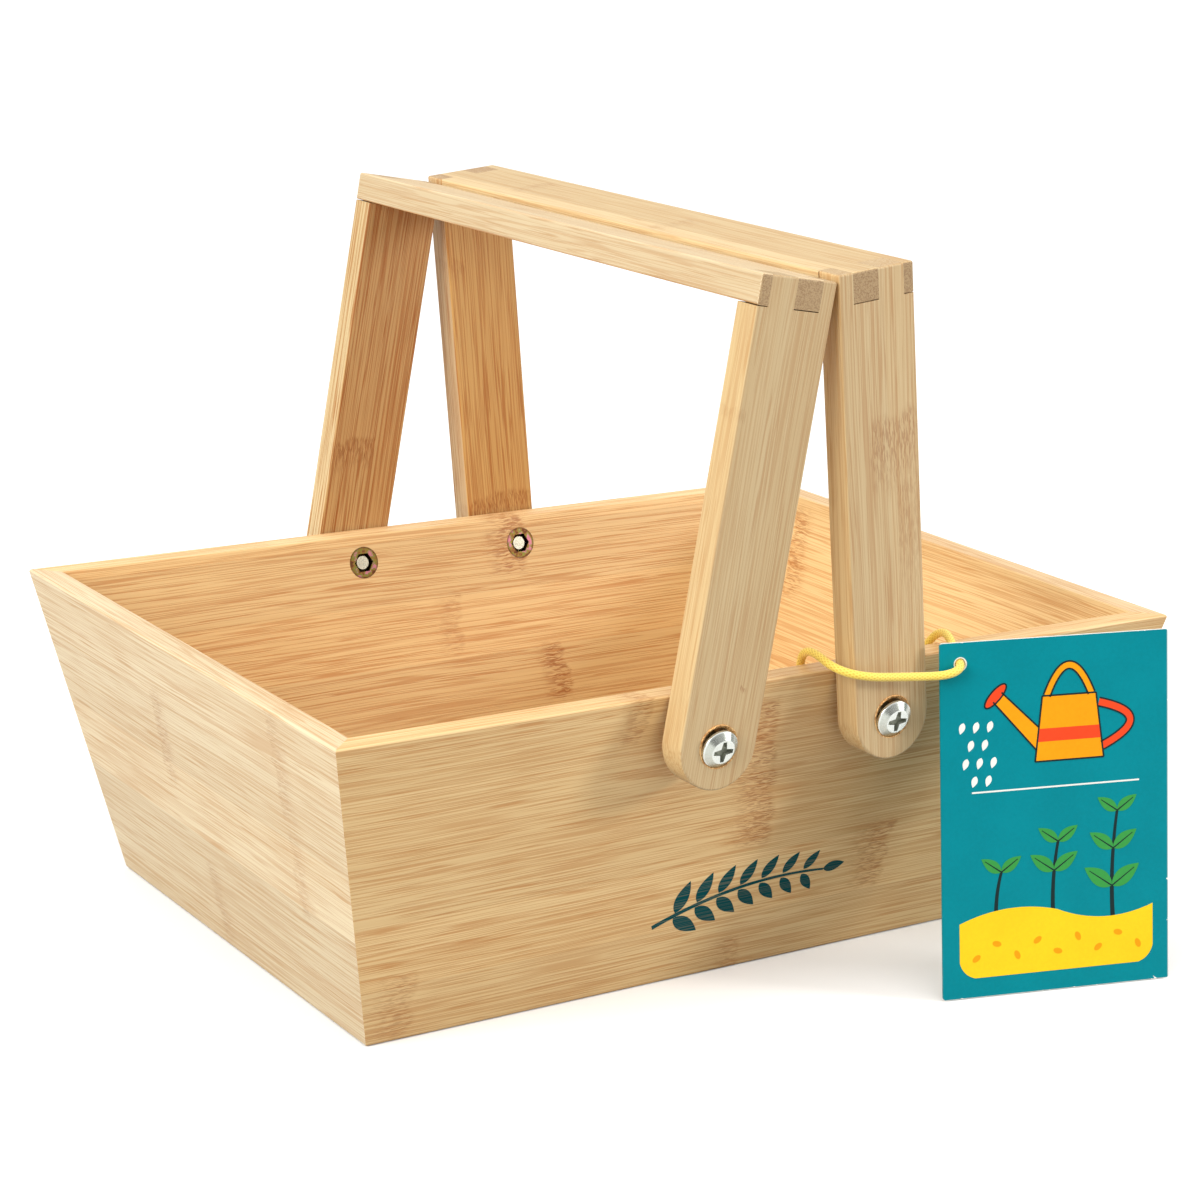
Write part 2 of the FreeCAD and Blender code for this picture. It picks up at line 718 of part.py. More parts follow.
# the cord's route: from its knot inside the tray over the rim, through the tag's hole, across the
# front of the right leg, round the leg's left side, over the rim again and back to the knot
rim_y = -size.rim_width.value / 2
rim_top = size.tray_height.value
inside_y = rim_y + side_skin.value
leg_y = -leg_outer.value
leg_x = pivot_x.value - math.tan(math.radians(right_lean.value)) * (rim_top - size.pivot_height.value)
leg_left = leg_x - half_leg.value
cord = size.cord_diameter.value
knot_at = Vector(leg_x + 9.9, inside_y + 2.7 * cord, rim_top - 14.5)
half_knot = size.knot_length.value / 2
eye_middle = tag_point(eye[0].value, eye[1].value, size.tag_board.value / 2)
over_right = Vector(eye_middle.x + 12.9, inside_y - 0.5 * cord, rim_top + 2.3 * cord)
through = (eye_middle - over_right).normalize()
route = [
    knot_at + Vector(half_knot, 0, 0),
    knot_at + Vector(half_knot + 4.0 * cord, 0, 0),
    Vector(over_right.x - 1.2 * cord, inside_y + 2.8 * cord, rim_top - 2.3 * cord),
    over_right,
    eye_middle + through * cord,
    eye_middle + through * cord + Vector(-1.9, -0.4, -0.45) * cord,
    Vector(eye_middle.x - 4.4 * cord, leg_y - 1.75 * cord, rim_top - 0.6 * cord),
    Vector(leg_left - 2.8 * cord, leg_y - 1.55 * cord, rim_top + 0.85 * cord),
    Vector(leg_left - 2.0 * cord, inside_y - 0.3 * cord, rim_top + 2.5 * cord),
    Vector(leg_left - 0.5 * cord, inside_y + 2.9 * cord, rim_top - 2.1 * cord),
    knot_at - Vector(half_knot + 4.8 * cord, 0, 0),
    knot_at - Vector(half_knot, 0, 0),
]


def make_tube(name, points, diameter):
    """A tube along straight runs joined by tangent arcs at the inner points."""
    edges = []
    radii = []
    at = points[0]
    for index in range(1, len(points) - 1):
        before = points[index - 1] - points[index]
        after = points[index + 1] - points[index]
        half_turn = (math.pi - before.getAngle(after)) / 2
        cut = 0.45 * min(before.Length, after.Length)
        radii.append(cut / math.tan(half_turn))
        before.normalize()
        after.normalize()
        start = points[index] + before * cut
        end = points[index] + after * cut
        inward = (before + after).normalize()
        reach = radii[-1] / math.cos(half_turn) - radii[-1]
        edges.append(Part.makeLine(at, start))
        edges.append(Part.Arc(start, points[index] + inward * reach, end).toShape())
        at = end
    edges.append(Part.makeLine(at, points[-1]))
    path = Part.Wire(edges)
    first = (points[1] - points[0]).normalize()
    ring = Part.Wire(Part.makeCircle(diameter / 2, points[0], first))
    tube = path.makePipeShell([ring], True, True)
    if tube.ShapeType != "Solid":
        tube = Part.makeSolid(tube)
    expected = math.pi * diameter * diameter / 4 * path.Length
    print(f"{name}: length {path.Length:.1f}, radii {[round(r, 1) for r in radii]}")
    print(f"{name}: volume {tube.Volume:.1f} against {expected:.1f}")
    if not near(tube.Volume / expected, 1.0, 0.02):
        raise RuntimeError(f"{name} folds over itself")
    feature = doc.addObject("Part::Feature", name)
    feature.Label = name
    feature.Shape = tube
    return feature


pieces.append(make_tube("tag_cord", route, cord))

cord_knot = new_body("cord_knot")
knot_profile = new_sketch(cord_knot, "profile", "XZ_Plane")
half_long = size.knot_length / 2
thick = size.knot_diameter / 2
waist = size.cord_diameter * 0.6
draw_outline(
    knot_profile,
    [
        (ZERO, -half_long),
        (waist, -half_long),
        (thick, -half_long / 2),
        (thick, half_long / 2),
        (waist, half_long),
        (ZERO, half_long),
    ],
)
revolve(cord_knot, "turned", knot_profile)
cord_knot.Placement = Placement(knot_at, Rotation(Vector(0, 1, 0), 90))
pieces.append(cord_knot)

doc.recompute()
for item in doc.Objects:
    if "Invalid" in item.State or "Error" in item.State:
        raise RuntimeError(f"{item.Label} is not sound: {item.State}")
os.makedirs("parts", exist_ok=True)
for piece in pieces:
    shape = piece.Shape
    if shape.isNull() or not shape.isValid():
        raise RuntimeError(f"{piece.Label} has no valid shape")
    shape.exportStep(os.path.join("parts", f"{piece.Label}.step"))
    print(f"{piece.Label}: {shape.Volume:.0f} cubic mm")
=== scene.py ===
"""A bamboo trug garden basket with two swinging handles, a card hang tag and its cord."""

import math

import bmesh
import bpy
from mathutils import Matrix, Vector


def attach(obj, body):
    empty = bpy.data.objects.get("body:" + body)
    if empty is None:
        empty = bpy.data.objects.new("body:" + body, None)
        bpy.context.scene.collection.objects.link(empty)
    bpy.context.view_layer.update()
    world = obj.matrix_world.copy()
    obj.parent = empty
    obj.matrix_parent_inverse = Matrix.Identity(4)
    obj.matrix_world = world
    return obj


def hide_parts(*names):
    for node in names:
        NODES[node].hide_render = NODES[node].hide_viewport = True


bl_info = {
    "name": "Trug Garden Basket",
    "version": (1, 0, 0),
    "blender": (4, 5, 0),
    "location": "View3D > Sidebar > Trug",
    "description": "Dresses a bamboo trug basket with its handles, pivot screws, hang tag and cord",
    "category": "Object",
}

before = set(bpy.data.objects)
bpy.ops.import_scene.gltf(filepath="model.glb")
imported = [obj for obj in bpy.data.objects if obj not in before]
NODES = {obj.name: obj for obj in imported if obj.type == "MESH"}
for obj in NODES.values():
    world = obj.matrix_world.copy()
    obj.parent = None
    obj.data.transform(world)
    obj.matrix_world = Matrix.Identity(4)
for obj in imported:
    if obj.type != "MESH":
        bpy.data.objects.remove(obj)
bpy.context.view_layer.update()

MM = 0.001

# The tray's rim, foot and height in millimetres, and the slopes that its walls take from them.
RIM_LENGTH = 300.0
RIM_WIDTH = 218.0
BASE_LENGTH = 255.0
BASE_WIDTH = 170.0
TRAY_HEIGHT = 100.0
SIDE_SLOPE = math.atan((RIM_WIDTH - BASE_WIDTH) / 2 / TRAY_HEIGHT)
END_SLOPE = math.atan((RIM_LENGTH - BASE_LENGTH) / 2 / TRAY_HEIGHT)

# The middles of the front wall's foot and of the left one's, and the shift of the front wall's grain,
# which the print on it follows.
FRONT_FOOT = Vector((0.0, -BASE_WIDTH / 2, 0.0)) * MM
LEFT_FOOT = Vector((-BASE_LENGTH / 2, 0.0, 0.0)) * MM
FRONT_SEED = 0.13

# How far each handle leans over the tray at rest, and how far its pivots are to the side and up.
LEFT_LEAN = math.radians(9.393)
RIGHT_LEAN = math.radians(-5.959)
PIVOT_SIDE = 31.5 * MM
PIVOT_HEIGHT = 86.0 * MM

# Where a screw's axis passes the pivot's height, how far out along that axis its head ends, and how
# far in along it the insert's flange lies.
SCREW_OUT = 118.0 * MM
HEAD_TOP = 4.148 * MM
INSERT_FACE = 20.518 * MM

# Where a screw's painted shade lies, down in its cross recess and on its head's bevel, and where its
# plating changes along the thread, measured from its head's top and from its axis.
RECESS_FLOOR = -2.6 * MM
RECESS_BRIM = -0.12 * MM
RECESS_SOFT = 0.4 * MM
BEVEL_INNER = 3.7 * MM
BEVEL_OUTER = 5.8 * MM
BEVEL_SOFT = 0.3 * MM
THREAD_PLATING = (-8.0 * MM, -6.0 * MM)

# Where an insert's painted shade lies: down in its socket, out to the socket's sides, and at the rim.
SOCKET_DEPTH = (0.15 * MM, 0.6 * MM)
SOCKET_REACH = (3.9 * MM, 4.1 * MM)
FLANGE_RIM = (4.7 * MM, 5.2 * MM)

# The burr in a screw's seat, in millimetres: the leg's outer face, the seat's depth, the ring's inner
# radius above the head and beside it, its outer radius, how far the tilted head widens it below, the
# room that it leaves, its dip under the head, and its sloping edge.
LEG_FACE = 119.5
SEAT_DEPTH = 1.4
BURR_INNER = 5.6
BURR_BESIDE = 6.05
BURR_OUTER = 6.68
BURR_SINK = 0.43
BURR_CLEAR = 0.05
BURR_DIP = 0.35
BURR_EDGE = 0.15
BURR_STEPS = 84
# How far up the ring the burr starts to tuck under the head: 0 is beside the screw, 1 is above it.
BURR_TUCK = 0.25

# The hang tag: its lower left corner, how it is turned and tilted, and its card in millimetres.
TAG_CORNER = Vector((40.8, -139.03, 0.0)) * MM
TAG_TURN = math.radians(14.5)
TAG_TILT = math.radians(8.9)
TAG_ACROSS = Vector((math.cos(TAG_TURN), -math.sin(TAG_TURN), 0.0))
TAG_BACK = Vector((math.sin(TAG_TURN), math.cos(TAG_TURN), 0.0))
TAG_UP = TAG_BACK * math.sin(TAG_TILT) + Vector((0.0, 0.0, math.cos(TAG_TILT)))
TAG_OUT = TAG_ACROSS.cross(TAG_UP)
TAG_WIDTH = 76.0
TAG_HEIGHT = 109.0
TAG_BOARD = 0.8
TAG_EYE = (6.6, 102.4)
EYE_RADIUS = 2.0
# The prints start a little below the surface under them, so that no gap shows.
INK_SINK = -0.02

# The cord's route from its knot over the rim, through the tag's eye, across the front of the right
# leg, over the rim again and back to the knot, in metres.
CORD_ROUTE = (
    (0.0434, -0.0932, 0.0855),
    (0.0538, -0.0932, 0.0855),
    (0.0608, -0.0930, 0.0940),
    (0.0640, -0.1016, 0.1060),
    (0.0523, -0.1235, 0.1017),
    (0.0499, -0.1280, 0.1008),
    (0.0449, -0.1290, 0.0996),
    (0.0396, -0.1240, 0.0984),
    (0.0095, -0.1235, 0.1022),
    (0.0116, -0.1010, 0.1065),
    (0.0155, -0.0927, 0.0945),
    (0.0240, -0.0932, 0.0855),
    (0.0364, -0.0932, 0.0855),
)
PLAITS = 8
PLAIT_RELIEF = 0.035

# The knot inside the front wall: its middle, the cord's diameter where it is pulled tight, and the
# tail that goes through its wraps, in millimetres from the middle.
KNOT_MIDDLE = Vector((0.0399, -0.0932, 0.0855))
KNOT_CORD = 2.3 * MM
KNOT_TAIL = (
    (3.4, 0.0, 0.0),
    (0.6, 0.2, 0.2),
    (-2.4, 0.6, 0.6),
    (-4.4, 2.2, 3.2),
    (-5.0, 2.8, 7.0),
)

# Marks of the cane's joints on each board, one of which is partly painted shadow: along the grain,
# across it, half length, half height (millimetres), strength and slant.
KNUCKLES = {
    "front_wall": (
        (-7, 84, 9, 13, 0.85, -0.12),
        (-3, 58, 9, 15, 0.85, -0.12),
        # This mark is partly a joint's flecks and partly painted shadow beside the left handle's front
        # leg.
        (-52, 97, 5, 9, 0.6, 0.1),
        (47, 32, 8, 13, 0.75, 0.05),
        (-3, 5, 6, 7, 0.5, 0.0),
        (-120, 12, 8, 12, 0.5, 0.0),
        (96, 70, 6, 12, 0.6, 0.0),
    ),
    "back_wall": (
        (0, 66, 6, 12, 0.4, 0.1),
        (41, 44, 6, 11, 1.0, -0.2),
        (26, 92, 9, 12, 0.9, 0.0),
        (-88, 30, 6, 12, 0.5, 0.0),
    ),
    "left_end_wall": (
        (20, 68, 5, 17, 0.5, -0.1),
        (-67, 84, 5, 19, 0.4, -0.1),
        (-65, 48, 5, 16, 0.35, -0.1),
        (4, 15, 5, 15, 0.4, 0.1),
    ),
    "right_end_wall": (
        (74, 80, 6, 18, 0.8, 0.0),
        (-22, 40, 6, 14, 0.5, 0.0),
        (15, 88, 5, 12, 0.4, 0.0),
    ),
    "base_panel": (
        (-70, -40, 6, 14, 0.6, 0.1),
        (30, 22, 6, 14, 0.7, 0.0),
        (85, -8, 6, 12, 0.5, 0.0),
    ),
    "left_handle_front_leg": ((18, 5, 1.2, 1.2, 0.7, 0.0), (96, -12, 2.5, 1.5, 0.3, 0.0)),
    "left_handle_back_leg": ((41, -5, 6, 8.5, 0.8, 0.1),),
    "left_handle_grip_bar": ((30, 0, 5, 9, 0.35, 0.0), (-60, 3, 5, 9, 0.3, 0.0)),
    "right_handle_front_leg": ((82, 4, 13, 9, 0.65, 0.0), (56, 9, 22, 5, 0.35, 0.0)),
    "right_handle_back_leg": ((105, -10, 4, 4, 0.3, 0.0), (15, 0, 7, 14, 0.8, 0.0)),
    "right_handle_grip_bar": ((70, 0, 5, 9, 0.3, 0.0), (-20, -4, 5, 9, 0.3, 0.0)),
}

# Each board's tone on its outer and inner face, partly the bamboo's own colour and partly painted
# light and shade: the inner faces are darker and warmer, standing in for shade and warm bounce inside
# the tray. Then how clearly its cut ends show, and how clearly its fibres do.
FACE_TONES_AND_SHADE = {
    "front_wall": ((1.04, 0.99, 0.85), (0.94, 0.88, 0.76), 0.5, 1.0),
    "back_wall": ((1.0, 0.96, 0.86), (0.83, 0.76, 0.605), 0.5, 1.0),
    "left_end_wall": ((0.89, 0.98, 1.1), (0.96, 0.9, 0.78), 0.5, 0.85),
    "right_end_wall": ((1.0, 1.0, 1.0), (1.05, 1.03, 0.89), 0.5, 0.9),
    "base_panel": ((1.0, 1.0, 1.0), (1.0, 0.96, 0.86), 0.5, 1.0),
    "left_handle_front_leg": ((0.68, 0.68, 0.65), (0.85, 0.74, 0.58), 0.25, 0.62),
    "left_handle_back_leg": ((0.74, 0.78, 0.79), (0.61, 0.49, 0.335), 0.25, 1.5),
    "left_handle_grip_bar": ((0.82, 0.87, 0.93), (0.9, 0.8, 0.66), 0.95, 0.65),
    "right_handle_front_leg": ((0.76, 0.76, 0.73), (0.85, 0.74, 0.58), 0.25, 0.78),
    "right_handle_back_leg": ((0.64, 0.62, 0.6), (0.7, 0.565, 0.345), 0.25, 1.25),
    "right_handle_grip_bar": ((0.8, 0.81, 0.76), (0.9, 0.8, 0.66), 1.0, 0.65),
}

# The legs' narrow sides are a little paler than their faces.
LEG_EDGE_TINT = (1.15, 1.14, 1.06, 1.0)


def rgb(red, green, blue):
    """A screen colour of 0 to 255 as the linear colour that shaders take."""
    channels = []
    for channel in (red, green, blue):
        level = channel / 255.0
        dark = level <= 0.04045
        channels.append(level / 12.92 if dark else ((level + 0.055) / 1.055) ** 2.4)
    return (*channels, 1.0)


# Settings that the panel shows


def colour(name, description, red, green, blue):
    """A colour setting with its default given as a screen colour."""
    return bpy.props.FloatVectorProperty(
        name=name,
        description=description,
        subtype="COLOR",
        size=4,
        min=0.0,
        max=1.0,
        default=rgb(red, green, blue),
    )


def length(name, description, millimetres):
    """A length setting with its default given in millimetres."""
    return bpy.props.FloatProperty(
        name=name,
        description=description,
        subtype="DISTANCE",
        unit="LENGTH",
        min=0.0,
        default=millimetres * MM,
        precision=5,
    )


def share(name, description, value, most=1.0):
    """A plain number setting."""
    return bpy.props.FloatProperty(
        name=name, description=description, min=0.0, max=most, default=value
    )


class TrugBamboo(bpy.types.PropertyGroup):
    """Colours and sizes of the laminated bamboo boards."""

    body: colour("Body", "Main tone of the bamboo", 222, 187, 137)
    pale: colour("Pale streaks", "Lighter streaks along the grain", 238, 210, 164)
    fibre: colour("Fibres", "Thin darker fibres along the grain", 188, 124, 60)
    knuckle: colour("Knuckles", "Mottled marks where the cane had its joints", 160, 92, 36)
    end: colour("End grain", "Cut ends of the boards", 172, 143, 103)
    pore: colour("Pores", "Pores in the cut ends", 134, 100, 64)
    burr: colour("Burrs", "Torn fibres at the screws' seats", 250, 205, 138)
    strip_width: length("Strip width", "Width of the strips that a board is laminated from", 22.0)
    roughness: share("Roughness", "Roughness of the sanded surface", 0.5)
    fibre_strength: share("Fibre strength", "How clearly the fibres show", 0.68)


class TrugMetal(bpy.types.PropertyGroup):
    """Finishes of the pivot screws and threaded inserts."""

    zinc: colour("Bright zinc", "Plating of the pivot screws", 206, 209, 204)
    screw_end: colour("Screw ends", "Plating at the ends of the screws", 236, 229, 206)
    # Painted shade: the darker grey down in the screws' cross recesses and on their heads' bevels.
    grime: colour("Recess", "Dull plating down in the cross recess", 142, 145, 130)
    gold: colour("Yellow zinc gold", "Gold tone of the yellow plating", 138, 102, 56)
    olive: colour("Yellow zinc olive", "Green tone of the yellow plating", 110, 118, 50)
    rose: colour("Yellow zinc rose", "Pink tone of the yellow plating", 178, 112, 122)
    umber: colour("Yellow zinc umber", "Brown tone of the yellow plating", 96, 60, 40)
    # Painted shade in the inserts' hex sockets.
    socket: colour("Socket", "Dark inside of the inserts' hex sockets", 38, 30, 18)


class TrugTag(bpy.types.PropertyGroup):
    """Colours of the printed card and of the print on the wall."""

    card: colour("Card", "Printed ground of the hang tag", 0, 131, 142)
    paper: colour("Paper", "Bare edges of the card", 238, 236, 228)
    yellow: colour("Yellow ink", "Yellow areas of the tag's print", 250, 205, 34)
    orange: colour("Orange ink", "Orange areas of the tag's print", 247, 158, 20)
    red: colour("Red ink", "Red areas of the tag's print", 236, 74, 36)
    green: colour("Green ink", "Green areas of the tag's print", 60, 150, 70)
    dark: colour("Dark ink", "Dark lines of the tag's print", 26, 44, 44)
    wall_ink: colour("Wall ink", "Printed sprig on the front wall", 2, 72, 76)


class TrugCord(bpy.types.PropertyGroup):
    """The tag's elastic cord."""

    yarn: colour("Yarn", "Yellow of the plaited cover", 255, 224, 98)
    # Painted shade: the darker yellow between the plaits, where the tube's skin dips.
    gap: colour("Between yarns", "Darker yellow between the plaits", 226, 186, 58)
    diameter: length("Diameter", "Diameter of the cord", 2.6)
    pitch: length("Plait pitch", "Length from one crossing of a yarn to the next", 1.8)


class TrugStage(bpy.types.PropertyGroup):
    """Floor, light and camera."""

    floor: colour("Floor", "Pale studio floor", 248, 248, 247)
    bounce: colour("Floor bounce", "Tone of the light that the floor sends back up", 150, 150, 149)
    key: share("Key light", "Power of the soft light on the left", 30.0, 200.0)
    side: share("Side light", "Power of the soft light on the right", 10.5, 200.0)
    horizon: share("Horizon", "Strength of the even studio light low down", 0.06, 5.0)
    zenith: share("Zenith", "Strength of the even studio light overhead", 1.54, 5.0)
    lens: bpy.props.FloatProperty(
        name="Lens", description="Focal length of the camera", unit="CAMERA", default=90.15
    )


# Shader helpers


def fill(tree, node, values):
    """Fills a node's sockets with values or links."""
    for key, value in values.items():
        socket = node.inputs[key]
        if isinstance(value, bpy.types.NodeSocket):
            tree.links.new(value, socket)
        else:
            socket.default_value = value


def put_node(tree, kind, values=None, **settings):
    """Adds a node, sets its properties and fills its sockets with values or links."""
    made = tree.nodes.new(kind)
    for key, value in settings.items():
        setattr(made, key, value)
    fill(tree, made, values or {})
    return made


def maths(tree, operation, *values, clamp=False):
    """One arithmetic node; returns its result."""
    sockets = dict(enumerate(values))
    return put_node(
        tree, "ShaderNodeMath", sockets, operation=operation, use_clamp=clamp
    ).outputs[0]


def times(tree, first, second):
    """The product of two values."""
    return maths(tree, "MULTIPLY", first, second)


def vector_maths(tree, operation, *values, output=0):
    """One vector arithmetic node; returns its result."""
    sockets = dict(enumerate(values))
    return put_node(tree, "ShaderNodeVectorMath", sockets, operation=operation).outputs[output]


def step(tree, value, low, high, to_low=0.0, to_high=1.0):
    """A soft step of value from low to high."""
    sockets = {0: value, 1: low, 2: high, 3: to_low, 4: to_high}
    return put_node(
        tree, "ShaderNodeMapRange", sockets, interpolation_type="SMOOTHSTEP"
    ).outputs[0]


def blend(tree, factor, first, second, mode="MIX"):
    """Blends two colours."""
    sockets = {0: factor, 6: first, 7: second}
    return put_node(
        tree, "ShaderNodeMix", sockets, data_type="RGBA", blend_type=mode
    ).outputs[2]


def between(tree, value, low, high, soft):
    """One where value lies from low to high, with soft edges on the inside."""
    rise = step(tree, value, low, low + soft)
    fall = step(tree, value, high - soft, high, 1.0, 0.0)
    return times(tree, rise, fall)


def shaded(tree, tone, level):
    """A colour made lighter or darker by a level."""
    grey = put_node(tree, "ShaderNodeCombineColor", {0: level, 1: level, 2: level}).outputs[0]
    return blend(tree, 1.0, tone, grey, "MULTIPLY")


def noise(tree, vector, scale, detail, rough):
    """A noise with about as many cells to the metre along each axis as scale says."""
    stretched = vector_maths(tree, "MULTIPLY", vector, scale)
    sockets = {"Vector": stretched, "Scale": 1.0, "Detail": detail, "Roughness": rough}
    return put_node(tree, "ShaderNodeTexNoise", sockets).outputs["Fac"]


def swing(tree, vector, scale, detail, rough):
    """A noise about nought."""
    return maths(tree, "SUBTRACT", noise(tree, vector, scale, detail, rough), 0.5)


def hairline(tree, value, thin, soft):
    """Thin lines where a noise crosses its middle value."""
    away = maths(tree, "ABSOLUTE", maths(tree, "SUBTRACT", value, 0.5))
    return step(tree, away, thin, soft, 1.0, 0.0)


def parts_of(tree, vector):
    """The three parts of a vector."""
    return put_node(tree, "ShaderNodeSeparateXYZ", {0: vector}).outputs


def from_axis(tree, at, middle=(0.0, 0.0)):
    """How far a place is from a line along the third axis through a middle."""
    flat = put_node(tree, "ShaderNodeCombineXYZ", {0: at[0], 1: at[1], 2: 0.0}).outputs[0]
    return vector_maths(tree, "DISTANCE", flat, (*middle, 0.0), output="Value")


def looking(tree, normal, way):
    """How far a surface looks one way: 1 straight along it, 0 square to it."""
    return vector_maths(tree, "DOT_PRODUCT", normal, way, output="Value")


VALUE = "NodeSocketFloat"
VECTOR = "NodeSocketVector"


def new_group(name, inputs, outputs):
    """A shader node group with named sockets; returns it, what it takes and its output node."""
    group = bpy.data.node_groups.new(name, "ShaderNodeTree")
    for label, kind, default in inputs:
        socket = group.interface.new_socket(label, in_out="INPUT", socket_type=kind)
        if default is not None:
            socket.default_value = default
    for label in outputs:
        group.interface.new_socket(label, in_out="OUTPUT", socket_type=VALUE)
    taken = group.nodes.new("NodeGroupInput").outputs
    given = group.nodes.new("NodeGroupOutput")
    return group, taken, given


def made_once(build):
    """Builds a node group under its function's name the first time, and finds it after that."""

    def find():
        name = build.__name__
        if name not in bpy.data.node_groups:
            build(name)
        return bpy.data.node_groups[name]

    return find


def use_group(tree, group, values):
    """Places a node group in a tree; returns its outputs."""
    return put_node(tree, "ShaderNodeGroup", values, node_tree=group).outputs


@made_once
def bamboo_knuckle(name):
    """Where one mark of a cane joint lies: soft on one side, crisp on the other, a strip high."""
    inputs = (
        ("Grain", VECTOR, None),
        ("Along", VALUE, 0.0),
        ("Across", VALUE, 0.0),
        ("Half Length", VALUE, 6.0 * MM),
        ("Half Height", VALUE, 12.0 * MM),
        ("Strength", VALUE, 1.0),
        ("Slant", VALUE, 0.0),
    )
    group, taken, given = new_group(name, inputs, ("Mask",))
    place = parts_of(group, taken["Grain"])
    rise = maths(group, "SUBTRACT", place[1], taken["Across"])
    lean = times(group, rise, taken["Slant"])
    run = maths(group, "SUBTRACT", maths(group, "SUBTRACT", place[0], taken["Along"]), lean)
    sway = times(group, swing(group, taken["Grain"], (20.0, 150.0, 60.0), 3.0, 0.6), 10.0 * MM)
    run = maths(group, "DIVIDE", maths(group, "ADD", run, sway), taken["Half Length"])
    rise = maths(group, "DIVIDE", maths(group, "ABSOLUTE", rise), taken["Half Height"])
    soft = step(group, run, -1.4, 0.1)
    crisp = step(group, run, 0.6, 0.95, 1.0, 0.0)
    edge = step(group, rise, 0.72, 1.08, 1.0, 0.0)
    mask = times(group, times(group, soft, crisp), edge)
    fill(group, given, {"Mask": times(group, mask, taken["Strength"])})


@made_once
def bamboo_grain(name):
    """Fibres, streaks and laminated strips of bamboo along the first axis of the grain vector."""
    inputs = (
        ("Grain", VECTOR, None),
        ("Seed", VALUE, 0.0),
        ("Strip Width", VALUE, 22.0 * MM),
        ("Knuckle", VALUE, 0.0),
    )
    outputs = ("Fibre", "Streak", "Pale", "Strip", "Speckle", "Height")
    group, taken, given = new_group(name, inputs, outputs)
    wave = swing(group, taken["Grain"], (170.0, 320.0, 320.0), 2.0, 0.6)
    wave = times(group, times(group, wave, taken["Knuckle"]), 2.2 * MM)
    drift = times(group, swing(group, taken["Grain"], (7.0, 9.0, 9.0), 1.0, 0.5), 3.5 * MM)
    place = parts_of(group, taken["Grain"])
    across = maths(group, "ADD", maths(group, "ADD", place[1], wave), drift)
    strip = maths(group, "DIVIDE", place[1], taken["Strip Width"])
    strip = maths(group, "FLOOR", maths(group, "ADD", strip, taken["Seed"]))
    lot = maths(group, "ADD", strip, times(group, taken["Seed"], 13.7))
    lot = put_node(group, "ShaderNodeTexWhiteNoise", {"W": lot}, noise_dimensions="1D")
    lot = lot.outputs["Value"]
    shift = maths(group, "ADD", times(group, lot, 0.7), taken["Seed"])
    along = maths(group, "ADD", place[0], shift)
    line = put_node(group, "ShaderNodeCombineXYZ", {0: along, 1: across, 2: place[2]}).outputs[0]
    thread = hairline(group, noise(group, line, (9.0, 980.0, 980.0), 0.0, 0.5), 0.015, 0.09)
    dash = hairline(group, noise(group, line, (17.0, 1450.0, 1450.0), 0.0, 0.5), 0.02, 0.10)
    broken = step(group, noise(group, line, (30.0, 1000.0, 1000.0), 1.0, 0.5), 0.42, 0.54)
    bundle = step(group, noise(group, line, (4.0, 130.0, 130.0), 1.0, 0.5), 0.34, 0.62, 0.8, 1.0)
    dash = times(group, dash, broken)
    fibre = maths(group, "MAXIMUM", times(group, thread, 0.75), dash)
    fibre = times(group, fibre, bundle)
    streak = noise(group, line, (2.5, 60.0, 60.0), 2.0, 0.5)
    pale_line = vector_maths(group, "ADD", line, (3.1, 0.4, 0.7))
    pale = hairline(group, noise(group, pale_line, (14.0, 1200.0, 1200.0), 0.0, 0.5), 0.015, 0.09)
    fleck = step(group, noise(group, line, (260.0, 2200.0, 2200.0), 2.0, 0.5), 0.47, 0.57)
    fleck = times(group, fleck, taken["Knuckle"])
    hollow = maths(group, "ADD", fibre, times(group, fleck, 0.6))
    values = {
        "Fibre": fibre,
        "Streak": streak,
        "Pale": pale,
        "Strip": lot,
        "Speckle": fleck,
        "Height": maths(group, "SUBTRACT", 1.0, hollow),
    }
    fill(group, given, values)


@made_once
def bamboo_end_grain(name):
    """Cut ends of the bamboo: where they face along the grain, and the pores that show there."""
    inputs = (("Grain", VECTOR, None), ("Facing", VALUE, 0.0))
    group, taken, given = new_group(name, inputs, ("Mask", "Pores"))
    mask = step(group, maths(group, "ABSOLUTE", taken["Facing"]), 0.62, 0.84)
    pores = noise(group, taken["Grain"], (700.0, 2300.0, 2300.0), 2.0, 0.6)
    pores = step(group, pores, 0.44, 0.60)
    fill(group, given, {"Mask": mask, "Pores": pores})


def new_material(name):
    """A material with its own shader; returns it, its tree and the shader."""
    made = bpy.data.materials.new(name)
    made.use_nodes = True
    shader = made.node_tree.nodes["Principled BSDF"]
    return made, made.node_tree, shader


def bump(tree, shader, height, strength, distance):
    """Lets a height shape the shader's normal."""
    made = put_node(
        tree, "ShaderNodeBump", {"Height": height, "Strength": strength, "Distance": distance}
    )
    tree.links.new(made.outputs[0], shader.inputs["Normal"])


def turned_into(tree, axes, origin):
    """Object coordinates turned into a frame of three axes about an origin, and the normal."""
    turn = Matrix(axes)
    place = put_node(tree, "ShaderNodeTexCoord").outputs
    sockets = {
        "Vector": place["Object"],
        "Rotation": turn.to_euler("XYZ"),
        "Location": -(turn @ origin),
    }
    mapping = put_node(tree, "ShaderNodeMapping", sockets)
    return mapping.outputs[0], place["Normal"]


